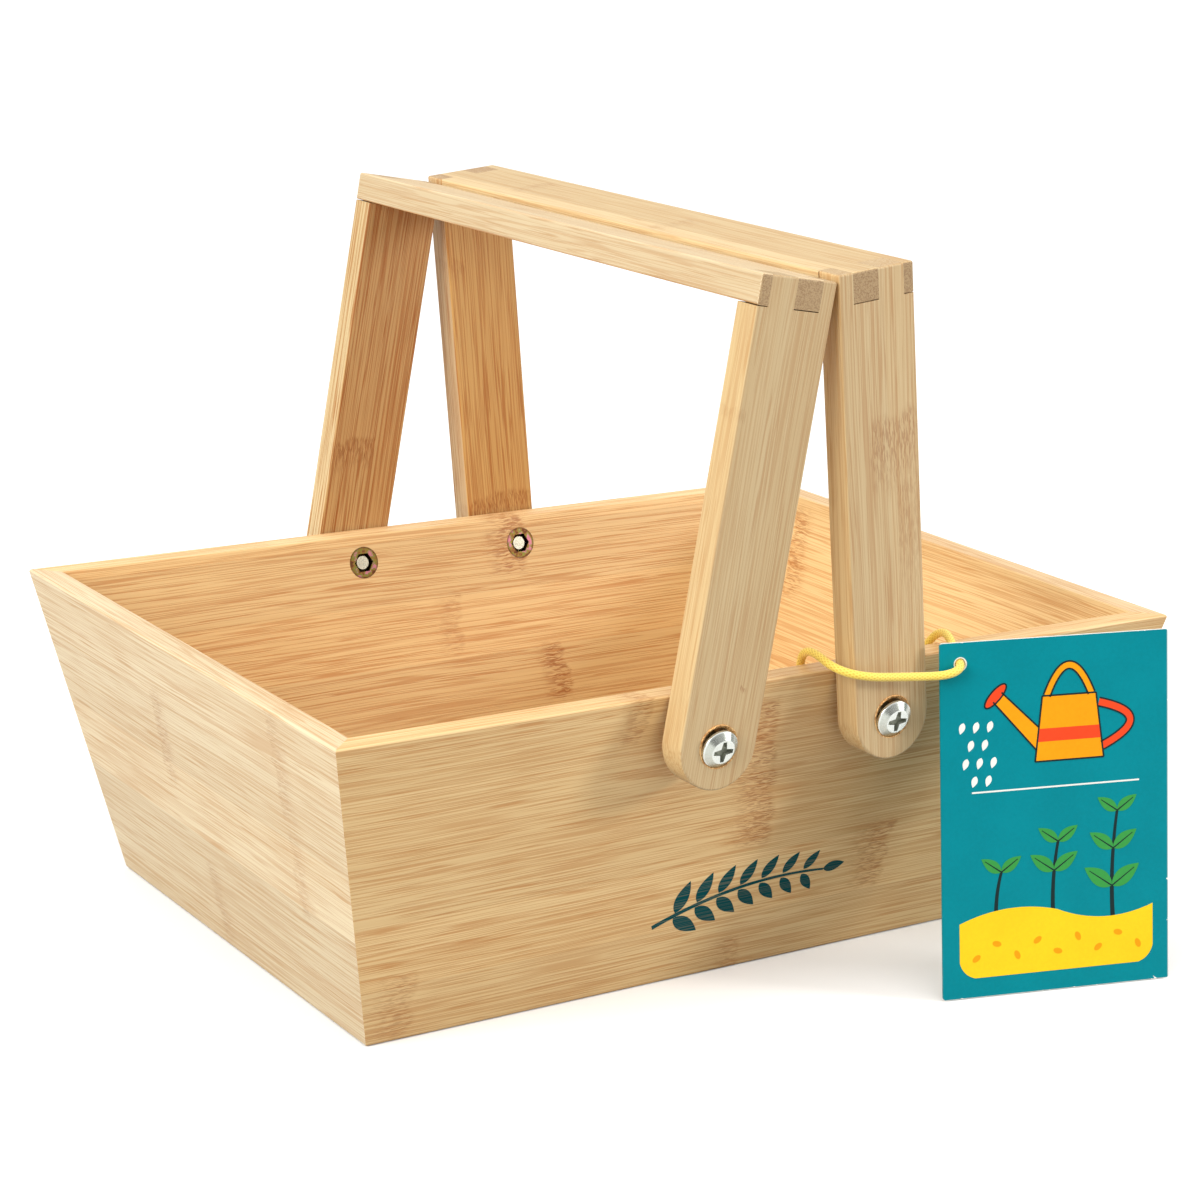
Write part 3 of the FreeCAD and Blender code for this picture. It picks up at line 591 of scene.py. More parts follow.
def bamboo_material(board, axes, origin, seed, inner):
    """Laminated bamboo for one board, with the grain along the first of its axes.

    inner is the way that the board's inner face looks, which has its own tone and painted shade.
    """
    look = bpy.context.scene.trug_bamboo
    made, tree, shader = new_material(f"bamboo_{board}")
    grain, normal = turned_into(tree, axes, origin)
    mask = None
    for along, across, half_length, half_height, strength, slant in KNUCKLES[board]:
        values = {
            "Grain": grain,
            "Along": along * MM,
            "Across": across * MM,
            "Half Length": half_length * MM,
            "Half Height": half_height * MM,
            "Strength": strength,
            "Slant": slant,
        }
        mark = use_group(tree, bamboo_knuckle(), values)["Mask"]
        mask = mark if mask is None else maths(tree, "MAXIMUM", mask, mark)
    values = {"Grain": grain, "Seed": seed, "Strip Width": look.strip_width, "Knuckle": mask}
    timber = use_group(tree, bamboo_grain(), values)
    facing = looking(tree, normal, axes[0])
    ends = use_group(tree, bamboo_end_grain(), {"Grain": grain, "Facing": facing})
    outer_tone_and_shade, inner_tone_and_shade, end_share, fibre_share = FACE_TONES_AND_SHADE[board]
    streak = step(tree, timber["Streak"], 0.3, 0.7, 0.25, 0.75)
    face = blend(tree, streak, look.body, look.pale)
    pale = times(tree, timber["Pale"], 0.5)
    face = blend(tree, pale, face, look.pale)
    fibre = times(tree, timber["Fibre"], look.fibre_strength * fibre_share)
    face = blend(tree, fibre, face, look.fibre)
    stain = times(tree, mask, 0.16)
    face = blend(tree, stain, face, look.fibre)
    speckle = times(tree, timber["Speckle"], 0.7)
    face = blend(tree, speckle, face, look.knuckle)
    face = shaded(tree, face, step(tree, timber["Strip"], 0.0, 1.0, 0.93, 1.05))
    # The inner face's darker, warmer tone is partly the bamboo and partly painted shade and warm
    # bounce.
    inward = looking(tree, normal, inner)
    face_tone_and_shade = blend(tree, step(tree, inward, 0.2, 0.8), (*outer_tone_and_shade, 1.0), (*inner_tone_and_shade, 1.0))
    face = blend(tree, 1.0, face, face_tone_and_shade, "MULTIPLY")
    if board.endswith("_leg"):
        beside = maths(tree, "ABSOLUTE", looking(tree, normal, axes[1]))
        beside = step(tree, beside, 0.4, 0.9)
        face = blend(tree, beside, face, blend(tree, 1.0, face, LEG_EDGE_TINT, "MULTIPLY"))
    cut = blend(tree, times(tree, ends["Pores"], 0.7), look.end, look.pore)
    face = blend(tree, times(tree, ends["Mask"], end_share), face, cut)
    rough = maths(tree, "MULTIPLY_ADD", timber["Fibre"], 0.12, look.roughness - 0.05)
    fill(tree, shader, {"Base Color": face, "Roughness": rough, "Specular IOR Level": 0.4})
    bump(tree, shader, timber["Height"], 0.25, 0.2 * MM)
    return made


def dress(node, material):
    """Gives a CAD node its material."""
    data = NODES[node].data
    if not data.materials:
        data.materials.append(material)
    for index in range(len(data.materials)):
        data.materials[index] = material


# Mesh helpers


def finished_mesh(work, name):
    """Turns the worked faces into a mesh and lets the work go."""
    mesh = bpy.data.meshes.new(name)
    work.to_mesh(mesh)
    work.free()
    return mesh


def new_piece(name, mesh, material, body):
    """Adds a piece that moves with a body and takes its finish from a slot."""
    piece = bpy.data.objects.new(name, mesh)
    bpy.context.scene.collection.objects.link(piece)
    mesh.materials.append(material)
    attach(piece, body)
    return piece


def ellipse(middle, half_width, half_height, turn=0.0, count=40):
    """Points round an ellipse, turned by degrees."""
    cos, sin = math.cos(math.radians(turn)), math.sin(math.radians(turn))
    points = []
    for index in range(count):
        angle = math.tau * index / count
        x, y = half_width * math.cos(angle), half_height * math.sin(angle)
        points.append((middle[0] + x * cos - y * sin, middle[1] + x * sin + y * cos))
    return points


def leaf(foot, size, width, turn, count=14):
    """A pointed leaf from its foot, size long, turned by degrees from straight right."""
    cos, sin = math.cos(math.radians(turn)), math.sin(math.radians(turn))
    outline = []
    for side in (-1, 1):
        row = []
        for index in range(count):
            share_along = index / (count - 1)
            swell = math.sin(math.pi * share_along**0.8) ** 0.9
            row.append((share_along * size, side * width / 2 * swell))
        outline += row[:-1] if side < 0 else row[:0:-1]
    return [(foot[0] + x * cos - y * sin, foot[1] + x * sin + y * cos) for x, y in outline]


def stroke(points, width, taper=1.0):
    """A drawn line of a width through points, thinner towards its end by taper."""
    left, right = [], []
    last = len(points) - 1
    for index, point in enumerate(points):
        before = Vector(points[max(index - 1, 0)])
        after = Vector(points[min(index + 1, last)])
        way = (after - before).normalized()
        half = width / 2 * (1 + (taper - 1) * index / last)
        left.append((point[0] - way.y * half, point[1] + way.x * half))
        right.append((point[0] + way.y * half, point[1] - way.x * half))
    return right + left[::-1]


def bow(start, end, rise, count=15):
    """Points of a bow from start to end that rises to one side in its middle."""
    start, end = Vector(start), Vector(end)
    side = Vector((start.y - end.y, end.x - start.x)).normalized()
    points = []
    for index in range(count):
        along = index / (count - 1)
        points.append(tuple(start.lerp(end, along) + side * rise * 4 * along * (1 - along)))
    return points


def inked(name, shapes, place, height):
    """A print of flat closed shapes given in millimetres; place puts a point in the frame."""
    work = bmesh.new()
    for outline in shapes:
        under = [work.verts.new(place(x, y, INK_SINK)) for x, y in outline]
        over = [work.verts.new(place(x, y, height)) for x, y in outline]
        work.faces.new(over)
        work.faces.new(under[::-1])
        for index in range(len(outline)):
            after = (index + 1) % len(outline)
            work.faces.new((under[index], under[after], over[after], over[index]))
    bmesh.ops.recalc_face_normals(work, faces=work.faces)
    bmesh.ops.triangulate(work, faces=[face for face in work.faces if len(face.verts) > 4])
    return finished_mesh(work, name)


def spline_points(name, route, resolution):
    """Points of the smooth line that a route's control points give."""
    curve = bpy.data.curves.new(name, "CURVE")
    curve.dimensions = "3D"
    spline = curve.splines.new("NURBS")
    spline.points.add(len(route) - 1)
    for point, place in zip(spline.points, route):
        point.co = (*place, 1.0)
    spline.order_u = 3
    spline.use_endpoint_u = True
    spline.resolution_u = resolution
    holder = bpy.data.objects.new(name, curve)
    bpy.context.scene.collection.objects.link(holder)
    mesh = bpy.data.meshes.new_from_object(holder)
    points = [vertex.co.copy() for vertex in mesh.vertices]
    bpy.data.objects.remove(holder)
    bpy.data.curves.remove(curve)
    bpy.data.meshes.remove(mesh)
    return points


def plaited_tube(work, layer, points, diameter, pitch, sides):
    """Adds a closed tube along points, its skin raised where the yarns of its cover cross."""
    way = (points[1] - points[0]).normalized()
    across = way.orthogonal().normalized()
    run = 0.0
    rings = []
    for index, point in enumerate(points):
        before = points[max(index - 1, 0)]
        after = points[min(index + 1, len(points) - 1)]
        way = (after - before).normalized()
        across = (across - way * across.dot(way)).normalized()
        up = way.cross(across)
        if index:
            run += (point - before).length
        ring = []
        for side in range(sides):
            angle = math.tau * side / sides
            twist = math.tau * run / pitch
            weave = max(math.cos(PLAITS * angle + twist), math.cos(PLAITS * angle - twist))
            radius = diameter / 2 * (1 - PLAIT_RELIEF + PLAIT_RELIEF * weave)
            spot = point + (across * math.cos(angle) + up * math.sin(angle)) * radius
            ring.append(work.verts.new(spot))
        rings.append((ring, run))
    for (ring, start), (following, end) in zip(rings, rings[1:]):
        for side in range(sides):
            after = (side + 1) % sides
            face = work.faces.new((ring[side], ring[after], following[after], following[side]))
            face.smooth = True
            marks = ((start, side), (start, side + 1), (end, side + 1), (end, side))
            for loop, (along, turn) in zip(face.loops, marks):
                loop[layer].uv = (along / pitch, turn / sides)
    first, last = rings[0], rings[-1]
    for ring, along in ((first[0][::-1], first[1]), last):
        face = work.faces.new(ring)
        for loop in face.loops:
            loop[layer].uv = (along / pitch, 0.0)


# Operators and what they build


def wall_axes(side):
    """Grain axes of one wall: along it, up its slope, and square to its faces."""
    if side in ("front", "back"):
        out = -1.0 if side == "front" else 1.0
        along = Vector((1, 0, 0))
        up = Vector((0, out * math.sin(SIDE_SLOPE), math.cos(SIDE_SLOPE)))
    else:
        out = -1.0 if side == "left" else 1.0
        along = Vector((0, 1, 0))
        up = Vector((out * math.sin(END_SLOPE), 0, math.cos(END_SLOPE)))
    return along, up, along.cross(up)


def pivot_place(hand, out):
    """A point at the pivots' height on the left (hand -1) or the right (1), so far out to the back."""
    return Vector((hand * PIVOT_SIDE, out, PIVOT_HEIGHT))


def leg_axes(lean):
    """Grain axes of a leg: up it, across it, and square to its faces."""
    up = Vector((math.sin(lean), 0, math.cos(lean)))
    across = Vector((math.cos(lean), 0, -math.sin(lean)))
    return up, across, up.cross(across)


class TrugTrayBoards(bpy.types.Operator):
    """Gives the four walls and the base panel their bamboo"""

    bl_idname = "trug.tray_boards"
    bl_label = "Tray Boards"

    def execute(self, context):
        walls = {
            "front_wall": ("front", FRONT_FOOT, FRONT_SEED),
            "back_wall": ("back", -FRONT_FOOT, 1.57),
            "left_end_wall": ("left", LEFT_FOOT, 2.31),
            "right_end_wall": ("right", -LEFT_FOOT, 3.72),
        }
        for board, (side, foot, seed) in walls.items():
            axes = wall_axes(side)
            inner = axes[2] if side in ("back", "left") else -axes[2]
            dress(board, bamboo_material(board, axes, foot, seed, inner))
        axes = (Vector((1, 0, 0)), Vector((0, 1, 0)), Vector((0, 0, 1)))
        dress("base_panel", bamboo_material("base_panel", axes, Vector(), 4.4, axes[2]))
        return {"FINISHED"}


class TrugHandles(bpy.types.Operator):
    """Gives the two handles their bamboo"""

    bl_idname = "trug.handles"
    bl_label = "Handles"

    def execute(self, context):
        handles = (("left", -1, LEFT_LEAN, 5.2), ("right", 1, RIGHT_LEAN, 7.9))
        for name, hand, lean, seed in handles:
            up, across, out = leg_axes(lean)
            foot = pivot_place(hand, 0.0)
            for index, side in enumerate(("front", "back")):
                board = f"{name}_handle_{side}_leg"
                inner = Vector((0, 1 - 2 * index, 0))
                grain_seed = seed + 0.61 * index
                dress(board, bamboo_material(board, (up, across, out), foot, grain_seed, inner))
            board = f"{name}_handle_grip_bar"
            along = Vector((0, 1, 0))
            axes = (along, across, along.cross(across))
            dress(board, bamboo_material(board, axes, foot, seed + 1.4, -up))
        return {"FINISHED"}


@made_once
def plating_wear(name):
    """Fine handling marks of plated metal: cloudy patches and thin scratches."""
    inputs = (("Place", VECTOR, None), ("Scale", VALUE, 1.0))
    group, taken, given = new_group(name, inputs, ("Cloud", "Scratch"))
    sockets = {0: taken["Place"], "Scale": taken["Scale"]}
    place = put_node(group, "ShaderNodeVectorMath", sockets, operation="SCALE").outputs[0]
    cloud = noise(group, place, (420.0, 420.0, 420.0), 3.0, 0.6)
    scratch = noise(group, place, (5200.0, 900.0, 5200.0), 2.0, 0.6)
    fill(group, given, {"Cloud": cloud, "Scratch": scratch})


def screw_axes(way):
    """Axes of a screw whose head looks out of the front (way -1) or the back (way 1) wall."""
    out = Vector((0, way * math.cos(SIDE_SLOPE), -math.sin(SIDE_SLOPE)))
    across = Vector((1, 0, 0))
    return across, out.cross(across), out


def zinc_material(name, hand, way):
    """Bright zinc of one pivot screw, with painted shade down in its cross recess and on its head's
    bevel.
    """
    look = bpy.context.scene.trug_metal
    made, tree, shader = new_material(f"bright_zinc_{name}")
    axes = screw_axes(way)
    top = pivot_place(hand, way * SCREW_OUT) + axes[2] * HEAD_TOP
    place, _ = turned_into(tree, axes, top)
    wear = use_group(tree, plating_wear(), {"Place": place, "Scale": 1.0})
    at = parts_of(tree, place)
    reach = from_axis(tree, at)
    # Painted shade down in the cross recess.
    recess = between(tree, at[2], RECESS_FLOOR, RECESS_BRIM, RECESS_SOFT)
    inside = step(tree, reach, BEVEL_INNER - BEVEL_SOFT, BEVEL_INNER, 1.0, 0.0)
    recess = times(tree, recess, inside)
    # Painted shade on the head's bevel ring.
    ring = between(tree, reach, BEVEL_INNER, BEVEL_OUTER, BEVEL_SOFT)
    cloud = step(tree, wear["Cloud"], 0.4, 0.75)
    # The painted shade of the bevel and the recess, with the cloudy wear.
    shade_and_wear = maths(tree, "MULTIPLY_ADD", ring, 0.45, times(tree, cloud, 0.15))
    shade_and_wear = maths(tree, "MAXIMUM", shade_and_wear, recess, clamp=True)
    end = step(tree, at[2], *THREAD_PLATING, 1.0, 0.0)
    plating = blend(tree, end, look.zinc, look.screw_end)
    tone = blend(tree, shade_and_wear, plating, look.grime)
    rough = maths(tree, "MULTIPLY_ADD", wear["Scratch"], 0.22, 0.14)
    rough = maths(tree, "MULTIPLY_ADD", recess, 0.2, rough)
    # Less metallic down in the recess, as part of its painted shade.
    bright = maths(tree, "MULTIPLY_ADD", recess, -0.7, 1.0)
    fill(tree, shader, {"Base Color": tone, "Roughness": rough, "Metallic": bright})
    bump(tree, shader, wear["Scratch"], 0.15, 0.08 * MM)
    return made


def yellow_zinc_material(name, hand, way, seed):
    """Yellow passivated zinc of one threaded insert, with its shifting colours and painted shade in
    its socket and at its rim.
    """
    look = bpy.context.scene.trug_metal
    made, tree, shader = new_material(f"yellow_zinc_{name}")
    axes = screw_axes(way)
    flange = pivot_place(hand, way * SCREW_OUT) - axes[2] * INSERT_FACE
    place, _ = turned_into(tree, axes, flange)
    at = parts_of(tree, place)
    shifted = vector_maths(tree, "ADD", place, (seed, 0.37 * seed, 0.0))
    wear = use_group(tree, plating_wear(), {"Place": shifted, "Scale": 0.8})
    ramp = put_node(tree, "ShaderNodeValToRGB", {0: wear["Cloud"]})
    stops = ((0.40, look.umber), (0.47, look.gold), (0.53, look.olive), (0.60, look.rose))
    while len(ramp.color_ramp.elements) < len(stops):
        ramp.color_ramp.elements.new(0.5)
    for element, (position, tone) in zip(ramp.color_ramp.elements, stops):
        element.position = position
        element.color = tone
    reach = from_axis(tree, at)
    # Painted shade down in the hex socket and at the flange's rim.
    socket = step(tree, at[2], *SOCKET_DEPTH)
    socket = times(tree, socket, step(tree, reach, *SOCKET_REACH, 1.0, 0.0))
    rim = times(tree, step(tree, reach, *FLANGE_RIM), 0.55)
    tone = blend(tree, rim, ramp.outputs[0], look.umber)
    tone = blend(tree, times(tree, socket, 0.85), tone, look.socket)
    rough = maths(tree, "MULTIPLY_ADD", wear["Scratch"], 0.3, 0.24)
    fill(tree, shader, {"Base Color": tone, "Roughness": rough, "Metallic": 1.0})
    bump(tree, shader, wear["Scratch"], 0.2, 0.1 * MM)
    return made


def burr_material():
    """Torn bamboo fibres, bright orange where the saw left them raw."""
    look = bpy.context.scene.trug_bamboo
    made, tree, shader = new_material("raw_bamboo_burr")
    place = put_node(tree, "ShaderNodeTexCoord").outputs["Object"]
    torn = noise(tree, place, (2600.0, 2600.0, 900.0), 3.0, 0.6)
    tone = blend(tree, step(tree, torn, 0.35, 0.65), look.fibre, look.burr)
    rough = maths(tree, "MULTIPLY_ADD", torn, 0.3, 0.5)
    fill(tree, shader, {"Base Color": tone, "Roughness": rough})
    bump(tree, shader, torn, 0.5, 0.2 * MM)
    return made


def burr_mesh(name, hand, way, seed):
    """A ring of torn fibres in the seat under a screw head: ragged above, flush with the leg below."""
    work = bmesh.new()
    middle = pivot_place(hand, way * LEG_FACE * MM)
    outward = Vector((0, way, 0))
    rows = []
    for index in range(BURR_STEPS):
        turn = math.tau * index / BURR_STEPS
        rise = math.cos(turn)
        spoke = Vector((math.sin(turn), 0, rise))
        broad = 0.3 * math.sin(9 * turn + seed)
        fine = 0.15 * math.sin(24 * turn + 2.3 * seed)
        lip = (0.55 + broad + fine) * rise if rise > 0 else -BURR_CLEAR
        tucked = rise > BURR_TUCK
        inner = BURR_INNER if tucked else BURR_BESIDE - BURR_SINK * rise
        dip = BURR_DIP if tucked else BURR_CLEAR
        outline = (
            (inner, -SEAT_DEPTH),
            (BURR_OUTER, -SEAT_DEPTH),
            (BURR_OUTER, lip * 0.6),
            (BURR_OUTER - BURR_EDGE, lip),
            (inner, -dip),
        )
        row = []
        for reach, high in outline:
            row.append(work.verts.new(middle + (spoke * reach + outward * high) * MM))
        rows.append(row)
    for row, following in zip(rows, rows[1:] + rows[:1]):
        for side in range(len(row)):
            after = (side + 1) % len(row)
            work.faces.new((row[side], row[after], following[after], following[side]))
    bmesh.ops.recalc_face_normals(work, faces=work.faces)
    return finished_mesh(work, name)


class TrugHardware(bpy.types.Operator):
    """Gives the pivot screws and threaded inserts their plating, and the screws' seats their burrs"""

    bl_idname = "trug.hardware"
    bl_label = "Screws and Inserts"

    def execute(self, context):
        burr = burr_material()
        for index, (handle, hand) in enumerate((("left", -1), ("right", 1))):
            for side, way in (("front", -1), ("back", 1)):
                name = f"{handle}_{side}"
                seed = 2 * index + way
                dress(f"pivot_screw_{name}", zinc_material(name, hand, way))
                insert = yellow_zinc_material(name, hand, way, 0.013 * seed)
                dress(f"threaded_insert_{name}", insert)
                mesh = burr_mesh(f"seat_burr_{name}", hand, way, seed)
                new_piece(f"seat_burr_{name}", mesh, burr, "tray")
        return {"FINISHED"}


def sprig_shapes():
    """A bowed stem with pairs of leaves, in millimetres along and up the front wall."""
    stem = bow((-33.0, 21.0), (29.0, 30.0), 4.0, 25)
    shapes = [stroke(stem, 1.5, 0.5)]
    for index in range(3, 24, 3):
        way = Vector(stem[index + 1]) - Vector(stem[index - 1])
        angle = math.degrees(math.atan2(way.y, way.x))
        size = 12.0 - 0.2 * index
        for side in (-1, 1):
            foot = (stem[index][0] + side * 0.2, stem[index][1] + side * 0.9)
            shapes.append(leaf(foot, size, size * 0.42, angle + side * 52))
    shapes.append(leaf(stem[-1], 8.0, 3.6, 8.0))
    return shapes


def wall_ink_material():
    """Ink on the front wall, worn along the wall's grain."""
    bamboo = bpy.context.scene.trug_bamboo
    ink = bpy.context.scene.trug_tag.wall_ink
    made, tree, shader = new_material("wall_ink")
    grain, _ = turned_into(tree, wall_axes("front"), FRONT_FOOT)
    values = {"Grain": grain, "Seed": FRONT_SEED, "Strip Width": bamboo.strip_width, "Knuckle": 0.0}
    timber = use_group(tree, bamboo_grain(), values)
    worn = times(tree, step(tree, timber["Pale"], 0.3, 1.0), 0.12)
    tone = blend(tree, worn, ink, bamboo.body)
    rough = maths(tree, "MULTIPLY_ADD", timber["Fibre"], 0.1, 0.5)
    fill(tree, shader, {"Base Color": tone, "Roughness": rough, "Specular IOR Level": 0.05})
    return made


def wall_place(along, up, height):
    """A point on the front wall's outer face in millimetres, standing off it by a height."""
    axes = wall_axes("front")
    return FRONT_FOOT + (axes[0] * along + axes[1] * up + axes[2] * height) * MM


class TrugWallSprig(bpy.types.Operator):
    """Prints a sprig of leaves on the front wall"""

    bl_idname = "trug.wall_sprig"
    bl_label = "Wall Sprig"

    def execute(self, context):
        mesh = inked("wall_sprig", sprig_shapes(), wall_place, 0.06)
        new_piece("wall_sprig", mesh, wall_ink_material(), "tray")
        return {"FINISHED"}


@made_once
def card_stock(name):
    """Paper fibres of printed card: fine flecks and a faint uneven surface."""
    group, taken, given = new_group(name, (("Place", VECTOR, None),), ("Fleck", "Height"))
    fleck = noise(group, taken["Place"], (900.0, 900.0, 900.0), 3.0, 0.65)
    cloud = noise(group, taken["Place"], (60.0, 60.0, 60.0), 2.0, 0.5)
    both = maths(group, "MULTIPLY_ADD", cloud, 0.5, times(group, fleck, 0.5))
    fill(group, given, {"Fleck": both, "Height": fleck})


def tag_place(across, up, height):
    """A point on the tag's printed face in millimetres, standing off it by a height."""
    out = TAG_OUT * (TAG_BOARD + height)
    return TAG_CORNER + (TAG_ACROSS * across + TAG_UP * up + out) * MM


def ink_material(name, tone):
    """An ink on the card, with the card's flecks in it."""
    made, tree, shader = new_material(name)
    place = put_node(tree, "ShaderNodeTexCoord").outputs["Object"]
    card = use_group(tree, card_stock(), {"Place": place})
    flecked = shaded(tree, tone, step(tree, card["Fleck"], 0.3, 0.7, 0.93, 1.03))
    rough = maths(tree, "MULTIPLY_ADD", card["Height"], 0.15, 0.32)
    fill(tree, shader, {"Base Color": flecked, "Roughness": rough, "Specular IOR Level": 0.1})
    return made


def card_material():
    """Printed teal card with bare paper at its edges, its scuffs and the rim of its eye."""
    look = bpy.context.scene.trug_tag
    made, tree, shader = new_material("printed_card_teal")
    place, normal = turned_into(tree, (TAG_ACROSS, TAG_UP, TAG_OUT), TAG_CORNER)
    card = use_group(tree, card_stock(), {"Place": place})
    at = parts_of(tree, place)
    right = maths(tree, "SUBTRACT", TAG_WIDTH * MM, at[0])
    top = maths(tree, "SUBTRACT", TAG_HEIGHT * MM, at[1])
    edge = maths(tree, "MINIMUM", maths(tree, "MINIMUM", at[1], top), right)
    chips = noise(tree, place, (260.0, 260.0, 260.0), 4.0, 0.7)
    reach = step(tree, chips, 0.6, 0.8, 0.1 * MM, 1.1 * MM)
    scuff = maths(tree, "LESS_THAN", edge, reach)
    rubbed = times(tree, step(tree, right, 0.15 * MM, 0.5 * MM, 1.0, 0.0), 0.55)
    scuff = maths(tree, "MAXIMUM", scuff, rubbed)
    from_eye = from_axis(tree, at, (TAG_EYE[0] * MM, TAG_EYE[1] * MM))
    rim = step(tree, from_eye, EYE_RADIUS * MM, (EYE_RADIUS + 0.25) * MM, 1.0, 0.0)
    facing = maths(tree, "ABSOLUTE", looking(tree, normal, TAG_OUT))
    side = step(tree, facing, 0.4, 0.7, 1.0, 0.0)
    fold = step(tree, at[0], 0.1 * MM, 0.6 * MM)
    side = times(tree, side, fold)
    bare = maths(tree, "MAXIMUM", side, maths(tree, "MAXIMUM", scuff, rim))
    printed = shaded(tree, look.card, step(tree, card["Fleck"], 0.3, 0.7, 0.92, 1.04))
    tone = blend(tree, bare, printed, look.paper)
    rough = maths(tree, "MULTIPLY_ADD", bare, 0.4, 0.33)
    fill(tree, shader, {"Base Color": tone, "Roughness": rough, "Specular IOR Level": 0.1})
    dent = step(tree, from_eye, EYE_RADIUS * MM, 3 * EYE_RADIUS * MM)
    height = maths(tree, "MULTIPLY_ADD", card["Height"], 0.06, dent)
    bump(tree, shader, height, 0.35, 0.6 * MM)
    return made


def tag_bed():
    """The yellow bed along the tag's foot, with round lower corners and a wavy top."""
    left, right = 5.5, 70.5
    foot, corner = 6.0, 5.0
    crest = (38.0, 25.0)
    bed = bow((left, foot + corner), (left + corner, foot), -1.0, 9)
    bed += bow((right - corner, foot), (right, foot + corner), -1.0, 9)
    bed += bow((right, 24.0), crest, 3.2, 17)
    bed += bow(crest, (left, 23.0), -2.6, 17)[1:]
    return bed


def tag_seeds():
    """Seeds in the bed, in two staggered rows."""
    seeds = []
    for index in range(9):
        spot = (11.0 + 6.8 * index, 12.0 + 4.0 * (index % 2))
        seeds.append(ellipse(spot, 1.5, 0.9, 35 - 50 * (index % 3), 18))
    return seeds


def tag_seedlings():
    """Three seedlings, each taller and leafier than the last; returns their leaves and stems."""
    leaves, stems = [], []
    foot = 19.0
    for middle, height, pairs in ((18.0, 19.0, 1), (37.0, 27.0, 2), (57.0, 35.0, 3)):
        stem = bow((middle, foot), (middle + 1.5, foot + height), 1.0, 13)
        stems.append(stroke(stem, 1.5, 0.6))
        for pair in range(pairs):
            size = 8.0 + 1.6 * pair
            for turn in (34, 146):
                leaves.append(leaf(stem[-1 - 4 * pair], size, size * 0.46, turn))
    return leaves, stems


def watering_can():
    """The outlines of the watering can's parts."""
    return {
        "body": [(31.0, 71.0), (54.0, 71.0), (51.5, 91.0), (33.5, 91.0)],
        "spout": [(31.5, 74.5), (32.3, 81.5), (20.0, 93.0), (17.2, 90.2)],
        "rose": ellipse((18.0, 92.0), 4.8, 1.7, 45, 28),
        "handle": stroke(bow((52.5, 88.0), (53.6, 74.5), 10.0, 21), 2.6),
        "hoop": stroke(bow((50.0, 91.0), (35.0, 91.0), -9.0, 21), 2.3),
        "band": [(31.7, 77.0), (53.3, 77.0), (52.8, 81.0), (32.3, 81.0)],
    }


def tag_drops():
    """Drops that fall from the can, in rows of three and two that drift to the right."""
    drops = []
    top, between_rows, between_drops = 84.5, 5.5, 4.6
    for row in range(4):
        count = 3 - row % 2
        left = 7.5 + 0.1 * between_rows * row + between_drops / 2 * (row % 2)
        for index in range(count):
            spot = (left + between_drops * index, top - between_rows * row)
            drops.append(leaf(spot, 3.6, 2.0, 250, 10))
    return drops


def tag_lines(can, leaves):
    """Dark lines round the watering can and along the middle of each leaf."""
    width = 0.5
    lines = []
    for outline in (can["body"], can["rose"]):
        for start, end in zip(outline, outline[1:] + outline[:1]):
            lines.append(stroke([start, end], width))
    spout = can["spout"]
    lines += [stroke(spout[1:3], width), stroke([spout[3], spout[0]], width)]
    for outline in (can["handle"], can["hoop"]):
        half = len(outline) // 2
        lines += [stroke(outline[:half], width), stroke(outline[half:], width)]
    for outline in leaves:
        foot = Vector(outline[0])
        tip = Vector(outline[len(outline) // 2])
        lines.append(stroke([tuple(foot), tuple(foot.lerp(tip, 0.82))], 0.45, 0.5))
    return lines


class TrugHangTag(bpy.types.Operator):
    """Prints the hang tag: seedlings on a yellow bed under a watering can"""

    bl_idname = "trug.hang_tag"
    bl_label = "Hang Tag"

    def execute(self, context):
        look = context.scene.trug_tag
        dress("hang_tag", card_material())
        leaves, stems = tag_seedlings()
        can = watering_can()
        rule = stroke([(10.0, 63.0), (66.0, 63.0)], 0.5)
        prints = (
            ("bed", [tag_bed()], look.yellow, 0.07),
            ("seeds", tag_seeds(), look.orange, 0.11),
            ("stems", stems, look.dark, 0.04),
            ("leaves", leaves, look.green, 0.09),
            ("can", [can["body"]], look.orange, 0.05),
            ("spout", [can["spout"], can["hoop"]], look.orange, 0.04),
            ("can_band", [can["band"], can["handle"], can["rose"]], look.red, 0.08),
            ("drops", [*tag_drops(), rule], look.paper, 0.04),
            ("lines", tag_lines(can, leaves), look.dark, 0.12),
        )
        for part, shapes, tone, height in prints:
            name = f"tag_print_{part}"
            mesh = inked(name, shapes, tag_place, height)
            new_piece(name, mesh, ink_material(f"ink_{name}", tone), "tag")
        return {"FINISHED"}


def cord_material():
    """Yellow plaited cover, with painted shade between the yarns."""
    look = bpy.context.scene.trug_cord
    made, tree, shader = new_material("elastic_cord_yellow")
    place = put_node(tree, "ShaderNodeTexCoord")
    at = parts_of(tree, place.outputs["UV"])
    turn = times(tree, at[1], PLAITS * math.tau)
    run = times(tree, at[0], math.tau)
    first = maths(tree, "COSINE", maths(tree, "ADD", turn, run))
    second = maths(tree, "COSINE", maths(tree, "SUBTRACT", turn, run))
    weave = maths(tree, "MAXIMUM", first, second)
    yarn = noise(tree, place.outputs["Object"], (3800.0, 3800.0, 3800.0), 2.0, 0.6)
    # Painted shade between the yarns, in the same weave that dips the tube's skin.
    raised = step(tree, maths(tree, "MULTIPLY_ADD", yarn, 0.5, weave), -0.2, 1.0)
    tone = blend(tree, raised, look.gap, look.yarn)
    rough = maths(tree, "MULTIPLY_ADD", yarn, 0.2, 0.5)
    fill(tree, shader, {"Base Color": tone, "Roughness": rough, "Sheen Weight": 0.25})
    bump(tree, shader, yarn, 0.3, 0.1 * MM)
    return made


